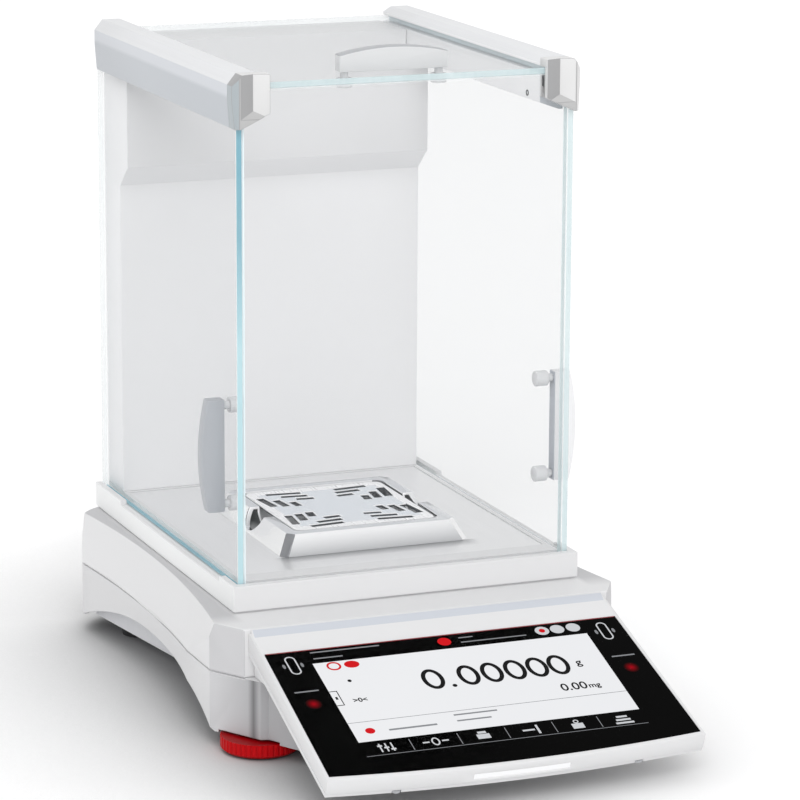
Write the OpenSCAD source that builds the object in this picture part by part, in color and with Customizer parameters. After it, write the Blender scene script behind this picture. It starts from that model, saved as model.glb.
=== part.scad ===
// Semi-micro laboratory balance with a glass draft shield and a touch display.
// Modelled with X to the right, Y to the back, Z up from the table, in millimetres.
// Inside the modules Y is measured from the front face of the front glass.

/* [Base] */
// Width of the base across its front corners
base_w = 230; // [226:1:236]
// Back of the base behind the front glass
base_back = 238; // [236:1:242]
// Height of the top of the upper housing, where the draft shield stands
deck_z = 67; // [65:0.5:70]
// Height of the parting line between the two housings
parting_z = 41; // [39:0.5:42]
// Height of the lower edge of the housing
skirt_z = 8; // [7.5:0.25:8.5]
// Wall of the moulded housings
wall = 3; // [2.5:0.25:3.25]
// Radius of the rounded back corners of the base
corner_r = 34; // [28:1:38]
// Where the cut-off front corner starts on the side, before the front glass
corner_y = 13; // [11:0.5:15]
// Radius of the hollow waist of each side
waist_r = 850; // [800:10:900]
// Depth of the waist at the parting line
waist_d = 5.2; // [4:0.2:6.5]
// Lean of the upper side walls in degrees
waist_lean = 16; // [13:1:18]
// Height of the arch in the side of the lower housing
arch_rise = 22; // [18:0.5:24]
// Reach of that arch before its middle
arch_half = 111; // [108:1:112]
// Front wall of the lower housing, before the front glass
prow_y = 64; // [60:1:66]

/* [Levelling feet] */
// Radius of the knurled foot wheel
wheel_r = 21; // [19:0.5:22]
// Height of the wheel rim
wheel_h = 7.4; // [7:0.2:8]
// Number of ribs round the wheel
wheel_ribs = 44; // [32:2:52]
// Radius of the threaded foot stud
stud_r = 4; // [3.5:0.25:4.5]

/* [Draft shield] */
// Width of the front glass
glass_w = 181; // [179:0.5:184]
// Thickness of the front glass
glass_t = 4; // [3.5:0.25:4.25]
// Thickness of the sliding doors
door_t = 3.5; // [3:0.25:3.75]
// Inside height of the chamber from the glass foot to the top door
chamber_h = 261; // [256:1:266]
// Depth of the tray frame of the shield behind the front glass
shield_back = 234.6; // [232:0.2:235]
// Play of a door in its slots
door_play = 0.4; // [0.3:0.05:0.5]
// Length of a door handle
handle_l = 60.5; // [56:0.5:66]
// How far the middle of a handle stands out
handle_out = 12.6; // [11:0.2:13.4]
// Thickness of a handle
handle_t = 7.5; // [6.5:0.25:8.5]

/* [Weighing pan] */
// Width of the pan
pan_w = 82; // [78:1:83]
// Depth of the pan
pan_d = 86; // [82:1:88]
// Middle of the pan behind the front glass
pan_y = 99; // [96:1:102]
// Height of the pan's face above the chamber floor
pan_rise = 10.5; // [9.5:0.25:11.5]
// Thickness of the pan
pan_t = 1.6; // [1.2:0.1:1.8]
// Width of a slot of the grille
slot_w = 4.6; // [4.2:0.1:4.8]
// Height of the surround of the pan
ring_h = 11; // [10:0.25:12]

/* [Display] */
// Tilt of the display from level in degrees
tilt = 18.8; // [18:0.2:19.6]
// Width of the touch glass along its upper edge
screen_w = 197; // [194:0.5:198]
// Length of the touch glass at its sides
screen_l = 105; // [102:0.5:107]
// How far the front edge of the glass bows out
screen_bow = 5; // [4:0.25:6]
// Thickness of the touch glass
screen_t = 1.5; // [1.25:0.05:1.6]
// Thickness of the front shell of the display
bezel_t = 9; // [8.8:0.05:9.4]
// Thickness of the back shell of the display
back_t = 2.5; // [2.2:0.1:3]

/* [Hidden] */
$fn = 64;

// Small fits and steps shared by several pieces
gap = 0.3;
fit = 0.05;
eps = 0.01;
big = 400;

// Levels of the draft shield
frame_h = 14;
foot_z = deck_z + frame_h;
rim_z = foot_z + 0.6;
floor_t = 1.5;
glass_sink = 2;
groove_sink = 2.2;
door_sink = 1.5;
top_z = foot_z + chamber_h;
top_glass_t = 3.2;
half_glass = glass_w / 2;

// Side doors and their slots, as distances from the middle plane
door_in = half_glass + 0.5;
door_out = door_in + door_t;
slot_in = door_in - door_play;
slot_out = door_out + door_play;
frame_half = slot_out + 3.6;
frame_front = 4.8;

// Rails along the top of the side doors
rail_w = 20;
rail_out = slot_out + 2.2;
rail_in = rail_out - rail_w;
rail_z0 = top_z - 20;
rail_z1 = top_z + 8;
rail_back = shield_back - 4.2;
cap_front = 4;
cap_back = 6;
channel_top = rail_z0 + 15.6;
door_top = rail_z0 + 11;
glide_h = 4;
glide_in = slot_in - 3.4;
glide_l = 16;
top_half = rail_in + 3.85;

// Rear column
col_low = shield_back - 27.6;
col_up = col_low - 14;
col_step0 = top_z - 83;
col_step1 = col_step0 + 12;
col_top = top_z - 0.5;
col_wall = 3;

// Door handles
handle_y = 19.5;
handle_end = handle_out - 3.6;
handle_z = foot_z + 35 + handle_l / 2;
cap_r = 4.25;
cap_d = 7;
pin_r = 2.2;
pin_hole_r = 2.5;
cap_span = handle_l - 7.5;

// Levelling feet
wheel_x = base_w / 2 - 22.5;
wheel_y = -28.5;
wheel_z = 1;
roof_z = wheel_z + wheel_h + 1.2;
stud_top = 34;
pad_r = 8;
pad_h = 2.5;

// Floor of the chassis and its trapezoid plan
chassis_z = 9;
chassis_top = parting_z - 5;
chassis_t = 3;
chassis_front = 5;
chassis_back = base_back - 26;
chassis_half0 = base_w / 2 - 40;
chassis_half1 = base_w / 2 - 9;

// Screw posts between deck and chassis
post_front_x = base_w / 2 - 53;
post_rear_x = base_w / 2 - 29;
post_x = [-post_front_x, post_front_x, -post_rear_x, post_rear_x];
post_y = [30, 30, base_back - 70, base_back - 70];
post_r = 5;
screw_r = 2;
screw_bore_r = 2.15;

// Upper front wall and the display standing before it
upper_front = 33.2;
disp_y = -52.4;
disp_z = foot_z - 22.3;
disp_back = -33.5;
bow_r = (pow(screen_w / 2 + 2.5, 2) + pow(screen_bow, 2)) / (2 * screen_bow);
bow_mid = screen_l + screen_bow;
rim_side = 2;
rim_front = 3.2;
lip_u = 15.2;
lip_rise = 2;

y_front = disp_y - (bow_mid + rim_front) * cos(tilt);
y_mid = (base_back + y_front) / 2;

// Puts a finished piece into the shared frame
module place() {
    translate([0, -y_mid, 0]) children();
}

// Copies a piece to the other side of the middle plane
module both() {
    children();
    mirror([1, 0, 0]) children();
}

// Plan of the base, moved inward by i, with its front wall at y = -front
module base_plan(i, front) {
    hw = base_w / 2 - i;
    yb = base_back - i;
    r = corner_r - i;
    ya = -corner_y + i * tan(15);
    xf = hw - (ya + front - i) * tan(30);
    difference() {
        union() {
            polygon([[-hw, yb - r], [hw, yb - r], [hw, ya], [xf, i - front], [-xf, i - front], [-hw, ya]]);
            translate([-hw + r, yb - 2 * r]) square([2 * hw - 2 * r, 2 * r]);
            translate([hw - r, yb - r]) circle(r);
            translate([-hw + r, yb - r]) circle(r);
        }
        waist_plan(i);
        both() prow_cut(i);
    }
}

// Sets the front corner of the lower housing back, from a crease on towards the front wall
crease_l = 30;
prow_d = 3;
module prow_cut(i) {
    run = i * (sqrt(2) - 1);
    translate([base_w / 2 - crease_l * tan(30), -corner_y - crease_l]) rotate(-120)
        polygon([[-run - 5, 20], [-run - 5, 5 - i], [prow_d - run, -prow_d - i], [80, -prow_d - i], [80, 20]]);
}

// The two hollow waists of the plan
module waist_plan(i) {
    for (s = [-1, 1])
        translate([s * (base_w / 2 - waist_d + waist_r), pan_y + 19]) circle(waist_r + i, $fn = 180);
}

// A leaning cut that carries the waist up the side of the upper housing
module waist_lean_cut(i) {
    both()
        translate([base_w / 2 - waist_d + waist_r / cos(waist_lean), pan_y + 19, parting_z])
            rotate([0, -waist_lean, 0])
                translate([0, 0, -2 * big]) cylinder(r = waist_r + i, h = 4 * big, $fn = 180);
}

// Outline of the arch cut in each side of the lower housing, drawn in Y and Z
module arch_plan() {
    steps = 24;
    mid = 94.5;
    back = base_back - 18.5 - mid;
    polygon(concat([[mid - arch_half, skirt_z - 5]],
        [for (k = [0 : steps])
            let (t = -1 + 2 * k / steps, reach = t < 0 ? arch_half : back, bend = t < 0 ? 3.3 : 2.15)
            [mid + t * reach, skirt_z - 0.5 + arch_rise * (1 - pow(abs(t), bend))]],
        [[mid + back, skirt_z - 5]]));
}

module lower_housing() {
    color([0.85, 0.85, 0.86])
    difference() {
        union() {
            difference() {
                translate([0, 0, skirt_z]) linear_extrude(parting_z - skirt_z) base_plan(0, prow_y);
                translate([0, 0, skirt_z - 1]) linear_extrude(parting_z - skirt_z - wall + 1)
                    base_plan(wall, prow_y);
                translate([0, 0, skirt_z]) linear_extrude(parting_z)
                    base_plan(wall, upper_front + 1);
            }
            intersection() {
                translate([0, 0, roof_z]) linear_extrude(parting_z - wall - roof_z) base_plan(0.5, prow_y);
                both() translate([wheel_x, wheel_y, roof_z]) cylinder(r = 9, h = parting_z - wall - roof_z);
            }
            intersection() {
                translate([0, 0, roof_z]) linear_extrude(wall) base_plan(0.5, prow_y);
                both() translate([wheel_x, wheel_y, roof_z]) cylinder(r = wheel_r + 4, h = wall);
            }
        }
        rotate([90, 0, 90]) translate([0, 0, -big / 2]) linear_extrude(big) arch_plan();
        both() translate([wheel_x, wheel_y, 0]) cylinder(r = wheel_r + 1, h = roof_z);
        both() translate([wheel_x, wheel_y, 0]) cylinder(r = stud_r + fit, h = parting_z + 1);
        translate([0, 0, parting_z - 0.8]) linear_extrude(1)
            difference() {
                translate([-big / 2, -upper_front]) square(big);
                base_plan(1.2, prow_y + 10);
            }
    }
}

module upper_housing() {
    inner_h = deck_z - parting_z - wall;
    color([0.91, 0.91, 0.92])
    difference() {
        union() {
            difference() {
                translate([0, 0, parting_z]) linear_extrude(deck_z - parting_z) base_plan(0, upper_front);
                waist_lean_cut(0);
                difference() {
                    translate([0, 0, parting_z - 1]) linear_extrude(inner_h + 1) base_plan(wall, upper_front);
                    waist_lean_cut(wall);
                }
            }
            for (k = [0 : 3])
                translate([post_x[k], post_y[k], chassis_z + chassis_t])
                    cylinder(r = post_r, h = deck_z - wall - chassis_z - chassis_t + eps);
        }
        translate([0, pan_y, parting_z]) cylinder(r = 18, h = big);
        for (k = [0 : 3])
            translate([post_x[k], post_y[k], 0]) cylinder(r = screw_bore_r, h = chassis_z + 26);
        translate([-panel_half - 0.15, base_back - wall - 1, parting_z - 1])
            cube([2 * panel_half + 0.3, big, panel_h + 1.15]);
    }
}

// Panel of the sockets in the back of the upper housing, with the posts of the board
panel_half = 76;
panel_h = deck_z - wall - 1 - parting_z;
module rear_panel() {
    color([0.87, 0.87, 0.88])
    difference() {
        union() {
            translate([-panel_half, base_back - wall, parting_z]) cube([2 * panel_half, wall, panel_h]);
            for (s = [-1, 1])
                translate([s * board_post_x, base_back - wall + eps, board_z])
                    rotate([90, 0, 0]) cylinder(r = 4, h = base_back - wall - board_y + eps);
        }
        for (s = [-1, 1])
            translate([s * board_post_x, board_y + 6, board_z])
                rotate([90, 0, 0]) cylinder(r = 1.35, h = 7);
        port_holes();
    }
}

// Board at the back of the base with its sockets
board_y = base_back - 14;
board_t = 1.6;
board_half = 72;
board_z0 = parting_z + 2.5;
board_h = deck_z - wall - parting_z - 4;
board_z = board_z0 + board_h / 2;
board_post_x = 66;
jack_x = 46;
serial_x = 8;
usb_x = -25;
usb_pitch = 17;
net_x = -50;

module port_holes() {
    translate([jack_x, base_back - wall - 1, board_z]) rotate([-90, 0, 0]) cylinder(r = 5.3, h = big);
    for (k = [0, 1])
        port_hole(usb_x + (k - 0.5) * usb_pitch, 13.6, 6.6);
    port_hole(serial_x, 31.4, 13);
    port_hole(net_x - 1, 16.6, 14);
}

module port_hole(x, w, h) {
    translate([x - w / 2, base_back - wall - 1, board_z - h / 2]) cube([w, big, h]);
}

// A rectangular socket with an open mouth facing the back
module socket(x, w, h, mouth_w, mouth_h) {
    l = base_back - board_y - 0.5;
    difference() {
        translate([x - w / 2, board_y, board_z - h / 2]) cube([w, l, h]);
        translate([x - mouth_w / 2, board_y + 4, board_z - mouth_h / 2]) cube([mouth_w, l, mouth_h]);
    }
}

module main_board() {
    color([0.1, 0.4, 0.2])
    difference() {
        translate([-board_half, board_y - board_t, board_z0]) cube([2 * board_half, board_t, board_h]);
        for (s = [-1, 1])
            translate([s * board_post_x, board_y + 1, board_z]) rotate([90, 0, 0]) cylinder(r = 1.5, h = 4);
    }
}

module board_screws() {
    color([0.7, 0.7, 0.72])
    for (s = [-1, 1])
        translate([s * board_post_x, board_y - board_t, board_z]) rotate([-90, 0, 0]) {
            translate([0, 0, -2]) cylinder(r = 2.5, h = 2);
            translate([0, 0, -eps]) cylinder(r = 1.25, h = 6);
        }
}

module power_jack() {
    l = base_back - board_y - 0.5;
    color([0.12, 0.12, 0.13])
    translate([jack_x, board_y, board_z]) rotate([-90, 0, 0])
        difference() {
            cylinder(r = 5, h = l);
            translate([0, 0, 3])
                difference() {
                    cylinder(r = 3.2, h = l);
                    translate([0, 0, -1]) cylinder(r = 1.1, h = l - 4);
                }
        }
}

module serial_port() {
    color([0.75, 0.76, 0.78]) socket(serial_x, 30.8, 12.4, 17, 8);
}

module usb_ports() {
    color([0.78, 0.79, 0.8])
    for (k = [0, 1])
        socket(usb_x + (k - 0.5) * usb_pitch, 13, 6, 11.6, 4.4);
}

module network_port() {
    color([0.72, 0.73, 0.75]) socket(net_x - 1, 16, 13.4, 11.7, 8);
}

// Trapezoid plan of the chassis, moved inward by i
module chassis_plan(i) {
    polygon([[-chassis_half0 + i, chassis_front + i], [chassis_half0 - i, chassis_front + i],
        [chassis_half1 - i, chassis_back - i], [-chassis_half1 + i, chassis_back - i]]);
}

module base_chassis() {
    color([0.66, 0.67, 0.69])
    difference() {
        translate([0, 0, chassis_z]) linear_extrude(chassis_top - chassis_z) chassis_plan(0);
        difference() {
            translate([0, 0, chassis_z + chassis_t]) linear_extrude(chassis_top) chassis_plan(chassis_t);
            for (y = [cell_front + 2, cell_front + 78])
                translate([-70, y, chassis_z]) cube([140, 3, chassis_t + 6]);
        }
        for (k = [0 : 3])
            translate([post_x[k], post_y[k], 0]) cylinder(r = screw_bore_r, h = big);
        translate([0, pan_y, 0]) cylinder(r = 9, h = chassis_z + chassis_t + 0.5);
    }
}

module weigh_below_plug() {
    color([0.2, 0.2, 0.21])
    translate([0, pan_y, chassis_z]) {
        translate([0, 0, -1.5]) cylinder(r = 12, h = 1.5);
        translate([0, 0, -eps]) cylinder(r = 9 - fit, h = chassis_t - 0.5);
    }
}

rear_foot_in = 31;
rear_foot_back = 42;
module rear_feet() {
    color([0.12, 0.12, 0.12])
    both() translate([base_w / 2 - rear_foot_in, base_back - rear_foot_back, 0])
        difference() {
            cylinder(r = 11, h = chassis_z);
            translate([0, 0, -1]) cylinder(r = 7, h = 2);
        }
}

module base_screws() {
    color([0.6, 0.6, 0.62])
    for (k = [0 : 3])
        translate([post_x[k], post_y[k], chassis_z]) {
            difference() {
                translate([0, 0, -2.4]) cylinder(r = 3.8, h = 2.4);
                translate([0, 0, -3]) cylinder(r = 1.6, h = 2, $fn = 6);
            }
            translate([0, 0, -eps]) cylinder(r = screw_r, h = 22);
        }
}

// Knurled wheel of a levelling foot
module foot_wheel() {
    rib_r = 0.9;
    difference() {
        union() {
            translate([0, 0, wheel_z + 1.5]) cylinder(r = wheel_r, h = wheel_h - 1.5);
            translate([0, 0, wheel_z]) cylinder(r1 = wheel_r - 1.5, r2 = wheel_r, h = 1.5 + eps);
        }
        for (k = [0 : wheel_ribs - 1])
            rotate([0, 0, k * 360 / wheel_ribs])
                translate([wheel_r + rib_r / 2, 0, 0]) cylinder(r = rib_r, h = big, $fn = 16);
        translate([0, 0, -1]) cylinder(r = pad_r + 0.8, h = pad_h + 1.4);
        translate([0, 0, -1]) cylinder(r = stud_r, h = big);
    }
}

module foot_stud() {
    translate([0, 0, pad_h]) cylinder(r = stud_r, h = stud_top - pad_h);
}

module foot_pad() {
    cylinder(r = pad_r, h = pad_h);
}

module left_foot_wheel() { color([0.78, 0.03, 0.05]) translate([-wheel_x, wheel_y, 0]) foot_wheel(); }
module right_foot_wheel() { color([0.78, 0.03, 0.05]) translate([wheel_x, wheel_y, 0]) foot_wheel(); }
module left_foot_stud() { color([0.62, 0.62, 0.64]) translate([-wheel_x, wheel_y, 0]) foot_stud(); }
module right_foot_stud() { color([0.62, 0.62, 0.64]) translate([wheel_x, wheel_y, 0]) foot_stud(); }
module left_foot_pad() { color([0.1, 0.1, 0.1]) translate([-wheel_x, wheel_y, 0]) foot_pad(); }
module right_foot_pad() { color([0.1, 0.1, 0.1]) translate([wheel_x, wheel_y, 0]) foot_pad(); }

// Force cell under the pan: one block with the flexure slots cut through
cell_z = chassis_z + chassis_t + 6;
cell_half = 27;
cell_front = pan_y - 17;
cell_l = chassis_back - chassis_t - 31 - cell_front;
cell_h = deck_z - wall - cell_z - 9;
cell_arm = 34;
cell_end = 22;
cell_slot = cell_l - cell_arm - cell_end;
module weigh_cell() {
    slot = 2.2;
    color([0.72, 0.73, 0.75])
    difference() {
        translate([-cell_half, cell_front, cell_z]) cube([2 * cell_half, cell_l, cell_h]);
        translate([-big / 2, cell_front + cell_arm, cell_z + 6]) cube([big, cell_slot, slot]);
        translate([-big / 2, cell_front + cell_arm, cell_z + cell_h - 8]) cube([big, cell_slot, slot]);
        translate([-big / 2, cell_front + cell_arm, cell_z + 6]) cube([big, slot, cell_h - 14 + slot]);
        translate([0, pan_y, cell_z + cell_h - 10]) cylinder(r = 5, h = big);
        translate([0, cell_front + cell_l - 12, cell_z + 8]) cylinder(r = 8, h = big);
    }
}

module cell_magnet() {
    color([0.5, 0.51, 0.53])
    translate([0, cell_front + cell_l, cell_z])
        difference() {
            translate([0, 11, 0]) cylinder(r = 14, h = cell_h - 6);
            translate([-20, -20, -1]) cube([40, 20, big]);
            translate([0, 11, cell_h - 12]) cylinder(r = 8, h = big);
        }
}

module pan_spigot() {
    color([0.78, 0.79, 0.8])
    translate([0, pan_y, cell_z + cell_h - 10]) {
        cylinder(r = 5, h = foot_z + 4 - cell_z - cell_h + 10);
        translate([0, 0, 10]) cylinder(r = 9, h = 3);
    }
}

weight_x = 44;
weight_y = 18;
module cal_weight() {
    color([0.8, 0.81, 0.82])
    translate([-weight_x, pan_y + weight_y, chassis_z + chassis_t]) {
        cylinder(r = 11, h = 20);
        translate([0, 0, 20 - eps]) cylinder(r = 4, h = 5);
    }
}

motor_x = 34;
motor_w = 22;
motor_l = 26;
motor_h = 18;
module cal_motor() {
    color([0.25, 0.25, 0.27])
    translate([motor_x, pan_y + 6, chassis_z + chassis_t]) {
        cube([motor_w, motor_l, motor_h]);
        translate([motor_w / 2, motor_l - eps, motor_h / 2]) rotate([-90, 0, 0]) cylinder(r = 8, h = 16);
    }
}

// Tray frame that carries the glass
module draft_frame() {
    w = 2 * frame_half;
    back = shield_back;
    deck_top = foot_z - floor_t;
    color([0.93, 0.93, 0.94])
    difference() {
        translate([-frame_half, -frame_front, deck_z]) cube([w, back + frame_front, rim_z - deck_z]);
        translate([-frame_half + 9, 8, deck_z - 1]) cube([w - 18, back - 16, frame_h - floor_t - 3 + 1]);
        translate([-plate_half - gap, plate_y0 - gap, deck_top])
            cube([2 * (plate_half + gap), plate_y1 - plate_y0 + 2 * gap, big]);
        translate([0, pan_y, deck_z - 1]) cylinder(r = 18, h = big);
        translate([-half_glass - gap, -0.1, foot_z - glass_sink])
            cube([glass_w + 2 * gap, glass_t + 0.2, big]);
        both() {
            translate([slot_in, 0, foot_z - groove_sink]) cube([slot_out - slot_in, big, big]);
            translate([slot_out - 1, sill_y, foot_z - 1.8]) cube([10, shield_back - 47 - sill_y, big]);
            translate([frame_half - 1.5, -frame_front - 1, deck_z - 1]) cube([10, big, 1.9]);
        }
        translate([-big / 2, -frame_front - 1, deck_z - 1]) cube([big, 2.5, 1.9]);
        translate([-big / 2, back - 1.5, deck_z - 1]) cube([big, 10, 1.9]);
    }
}

// Steel floor plate of the chamber
sill_y = 18.7;
plate_half = half_glass - 2.8;
plate_y0 = 17;
plate_y1 = col_low - 2;
module floor_plate() {
    color([0.7, 0.71, 0.72])
    difference() {
        translate([-plate_half, plate_y0, foot_z - floor_t])
            cube([2 * plate_half, plate_y1 - plate_y0, floor_t]);
        translate([0, pan_y, 0]) cylinder(r = 22, h = big);
    }
}

module front_glass() {
    color([0.75, 0.88, 0.9, 0.35])
    translate([-half_glass, 0, foot_z - glass_sink])
        cube([glass_w, glass_t, top_z - gap - foot_z + glass_sink]);
}

// Section of the right rail, X and Z, with its inner upper edge cut off by inner
module rail_plan(inner) {
    polygon([[rail_out - 1.1, rail_z0], [rail_out, rail_z0 + 14.6], [rail_out, rail_z0 + 22.3],
        [rail_out - 4.6, rail_z1], [rail_in + inner, rail_z1], [rail_in, rail_z1 - 0.6 * inner],
        [rail_in, rail_z0 + 4], [rail_in + 11, rail_z0]]);
}

// Channels in a rail: the side door hangs from below, the top door runs in the inner slot
module rail_channels() {
    translate([slot_in, rail_z0 - 1]) square([slot_out - slot_in, channel_top - rail_z0 + 1]);
    translate([glide_in - door_play, door_top - 1])
        square([slot_in - glide_in + 1, channel_top - door_top + 1]);
    translate([rail_in - 1, top_z - gap]) square([top_half + door_play - rail_in + 1, top_glass_t + 2 * gap]);
}

module rail() {
    translate([0, rail_back, 0]) rotate([90, 0, 0]) linear_extrude(rail_back - cap_back)
        difference() {
            rail_plan(5);
            rail_channels();
        }
}

// Front end cap of a rail: a cut outer corner, a V groove down the front and slots for the three panes
cap_cut = 3.2;
groove_d = 2.9;
module rail_cap() {
    l = cap_front + cap_back;
    edge = rail_out - cap_cut;
    difference() {
        translate([0, cap_back, 0]) rotate([90, 0, 0]) linear_extrude(l)
            difference() {
                rail_plan(0.5);
                polygon([[rail_out - 4, rail_z0 - 1], [rail_in - 1, rail_z0 - 1], [rail_in - 1, rail_z0 + 8],
                    [rail_out - 4, rail_z0]]);
            }
        translate([0, -cap_front, rail_z0 - 1]) linear_extrude(big)
            polygon([[edge, 0], [rail_out, cap_cut], [rail_out + 5, cap_cut],
                [rail_out + 5, -5], [edge, -5]]);
        cap_groove(edge);
        translate([0, -0.1, 0]) {
            translate([rail_in - 1, 0, rail_z0 - 1])
                cube([half_glass + gap - rail_in + 1, glass_t + 0.2, top_z - rail_z0 + 1]);
            translate([rail_in - 1, 0, top_z - gap])
                cube([top_half + door_play - rail_in + 1, big, top_glass_t + 2 * gap]);
        }
        translate([slot_in, 0.1, rail_z0 - 1]) cube([slot_out - slot_in, big, channel_top - rail_z0 + 1]);
        translate([glide_in - door_play, glass_t, door_top - 1])
            cube([slot_in - glide_in + 1, big, channel_top - door_top + 1]);
    }
}

// The V groove of a cap, open at the top, with a lip that slopes forward at its foot
module cap_groove(edge) {
    translate([0, -cap_front, 0])
        difference() {
            translate([0, 0, rail_z0]) linear_extrude(big)
                polygon([[edge - 0.6, -eps], [(edge + rail_in) / 2, groove_d], [rail_in - 0.5, -eps]]);
            rotate([90, 0, 90]) linear_extrude(big)
                polygon([[-1, rail_z0 - 1], [-1, rail_z0 + 3.6], [groove_d, rail_z0 + 9],
                    [groove_d + 1, rail_z0 - 1]]);
        }
}

module right_rail() { color([0.8, 0.82, 0.84]) rail(); }
module left_rail() { color([0.8, 0.82, 0.84]) mirror([1, 0, 0]) rail(); }
module right_rail_cap() { color([0.86, 0.86, 0.87]) rail_cap(); }
module left_rail_cap() { color([0.86, 0.86, 0.87]) mirror([1, 0, 0]) rail_cap(); }

// Section of the rear column, Y and Z, moved inward by i
module column_plan(i) {
    polygon([[col_low + i, rim_z + i], [col_low + i, col_step0 + i * 0.4], [col_up + i, col_step1 + i * 0.4],
        [col_up + i, col_top - i], [shield_back, col_top - i], [shield_back, rim_z + i]]);
}

module column_prism(i, half) {
    rotate([90, 0, 90]) translate([0, 0, -half]) linear_extrude(2 * half) column_plan(i);
}

// The hollow column, before it is parted into its lower box and its head
module column_shell() {
    half = half_glass;
    difference() {
        union() {
            difference() {
                column_prism(0, half);
                difference() {
                    column_prism(col_wall, half - col_wall);
                    both() translate([rail_in - 4, 0, rail_z0 - col_wall]) cube([big, big, big]);
                }
                both() translate([rail_in - gap, 0, rail_z0]) cube([big, big, big]);
                translate([-half + 2 * col_wall, shield_back - col_wall, rim_z + 2 * col_wall])
                    cube([2 * half - 4 * col_wall, big, cover_h]);
            }
            cover_places()
                rotate([90, 0, 0]) {
                    cylinder(r = 3.5, h = 12);
                    translate([0, -3.5, 0]) cube([cover_gap_x, 7, 12]);
                }
        }
        cover_places() translate([0, -9, 0]) rotate([-90, 0, 0]) cylinder(r = 1.35, h = 10);
    }
}

// Screw places of the cover, on the plane behind it
module cover_places() {
    both()
        for (z = [0.12, 0.88])
            translate([cover_screw_x, shield_back - col_wall, rim_z + 2 * col_wall + z * cover_h]) children();
}

module rear_column() {
    color([0.93, 0.93, 0.94])
    intersection() {
        column_shell();
        translate([-big / 2, 0, 0]) cube([big, big, col_step0]);
    }
}

module column_head() {
    color([0.93, 0.93, 0.94])
    intersection() {
        column_shell();
        translate([-big / 2, 0, col_step0]) cube([big, big, big]);
    }
}

// Cover plate in the back of the column
cover_h = rail_z0 - rim_z - 5 * col_wall;
cover_edge = 14;
cover_screw_x = half_glass - cover_edge;
cover_gap_x = half_glass - col_wall - cover_screw_x + 0.5;
vent_w = 68;
module rear_column_cover() {
    half = half_glass - 2 * col_wall - gap;
    z0 = rim_z + 2 * col_wall + gap;
    color([0.9, 0.9, 0.91])
    difference() {
        translate([-half, shield_back - col_wall, z0]) cube([2 * half, col_wall, cover_h - 2 * gap]);
        for (k = [0 : 6])
            translate([-vent_w / 2, shield_back - 5, z0 + cover_h * 0.32 + k * 8]) cube([vent_w, 10, 3]);
        cover_places()
            rotate([-90, 0, 0]) {
                translate([0, 0, -1]) cylinder(r = 1.6, h = 10);
                translate([0, 0, col_wall - 1.4]) cylinder(r = 3.2, h = 10);
            }
    }
}

module column_screws() {
    color([0.6, 0.6, 0.62])
    cover_places()
        rotate([90, 0, 0]) {
            difference() {
                translate([0, 0, -col_wall]) cylinder(r = 2.9, h = 1.4);
                translate([0, 0, -col_wall - 1]) cylinder(r = 1.2, h = 1.8, $fn = 6);
            }
            translate([0, 0, 1.4 - col_wall - eps]) cylinder(r = 1.25, h = 9);
        }
}

// Sliding side door, drawn on the right
module door_glass() {
    difference() {
        translate([door_in, 0.5, foot_z - door_sink])
            cube([door_t, shield_back - 1, door_top - foot_z + door_sink]);
        handle_pins(pin_hole_r, door_in - 1, door_t + 2);
    }
}

// Two round bars through the glass where a handle is held
module handle_pins(r, x, l) {
    for (s = [-1, 1])
        translate([x, handle_y + handle_t / 2, handle_z + s * cap_span / 2])
            rotate([0, 90, 0]) cylinder(r = r, h = l);
}

// D-shaped fin with a bowed outer edge: length along Y, stand-out along X
module fin_plan() {
    r = (pow(handle_l / 2, 2) + pow(handle_out - handle_end, 2)) / (2 * (handle_out - handle_end));
    intersection() {
        translate([0, -handle_l / 2]) square([handle_out, handle_l]);
        translate([handle_out - r, 0]) circle(r, $fn = 180);
    }
}

module door_handle() {
    translate([door_out, handle_y + handle_t, handle_z])
        rotate([90, 0, 0]) linear_extrude(handle_t) fin_plan();
}

module handle_caps() {
    handle_pins(cap_r, door_in - cap_d, cap_d);
    handle_pins(pin_r, door_in - eps, door_t + eps);
}

module door_glides() {
    for (y = [9, 38])
        translate([glide_in, y, door_top]) cube([door_out - glide_in, glide_l, glide_h]);
}

module right_door_glass() { color([0.75, 0.88, 0.9, 0.35]) door_glass(); }
module left_door_glass() { color([0.75, 0.88, 0.9, 0.35]) mirror([1, 0, 0]) door_glass(); }
module right_door_handle() { color([0.7, 0.7, 0.72]) door_handle(); }
module left_door_handle() { color([0.7, 0.7, 0.72]) mirror([1, 0, 0]) door_handle(); }
module right_handle_caps() { color([0.9, 0.9, 0.9]) handle_caps(); }
module left_handle_caps() { color([0.9, 0.9, 0.9]) mirror([1, 0, 0]) handle_caps(); }
module right_door_glides() { color([0.3, 0.3, 0.31]) door_glides(); }
module left_door_glides() { color([0.3, 0.3, 0.31]) mirror([1, 0, 0]) door_glides(); }

// Top door with its handle standing on it
module top_door_glass() {
    color([0.75, 0.88, 0.9, 0.35])
    difference() {
        translate([-top_half, 0, top_z]) cube([2 * top_half, rail_back - 1, top_glass_t]);
        top_pins(pin_hole_r, top_z - 1, top_glass_t + 2);
    }
}

module top_pins(r, z, l) {
    for (s = [-1, 1])
        translate([s * cap_span / 2, handle_y + handle_t / 2, z]) cylinder(r = r, h = l);
}

module top_door_handle() {
    color([0.7, 0.7, 0.72])
    translate([0, handle_y + handle_t, top_z + top_glass_t])
        rotate([90, 0, 0]) linear_extrude(handle_t) rotate(90) fin_plan();
}

module top_handle_caps() {
    color([0.9, 0.9, 0.9]) {
        top_pins(cap_r, top_z - 5, 5);
        top_pins(pin_r, top_z - eps, top_glass_t + eps);
    }
}

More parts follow.
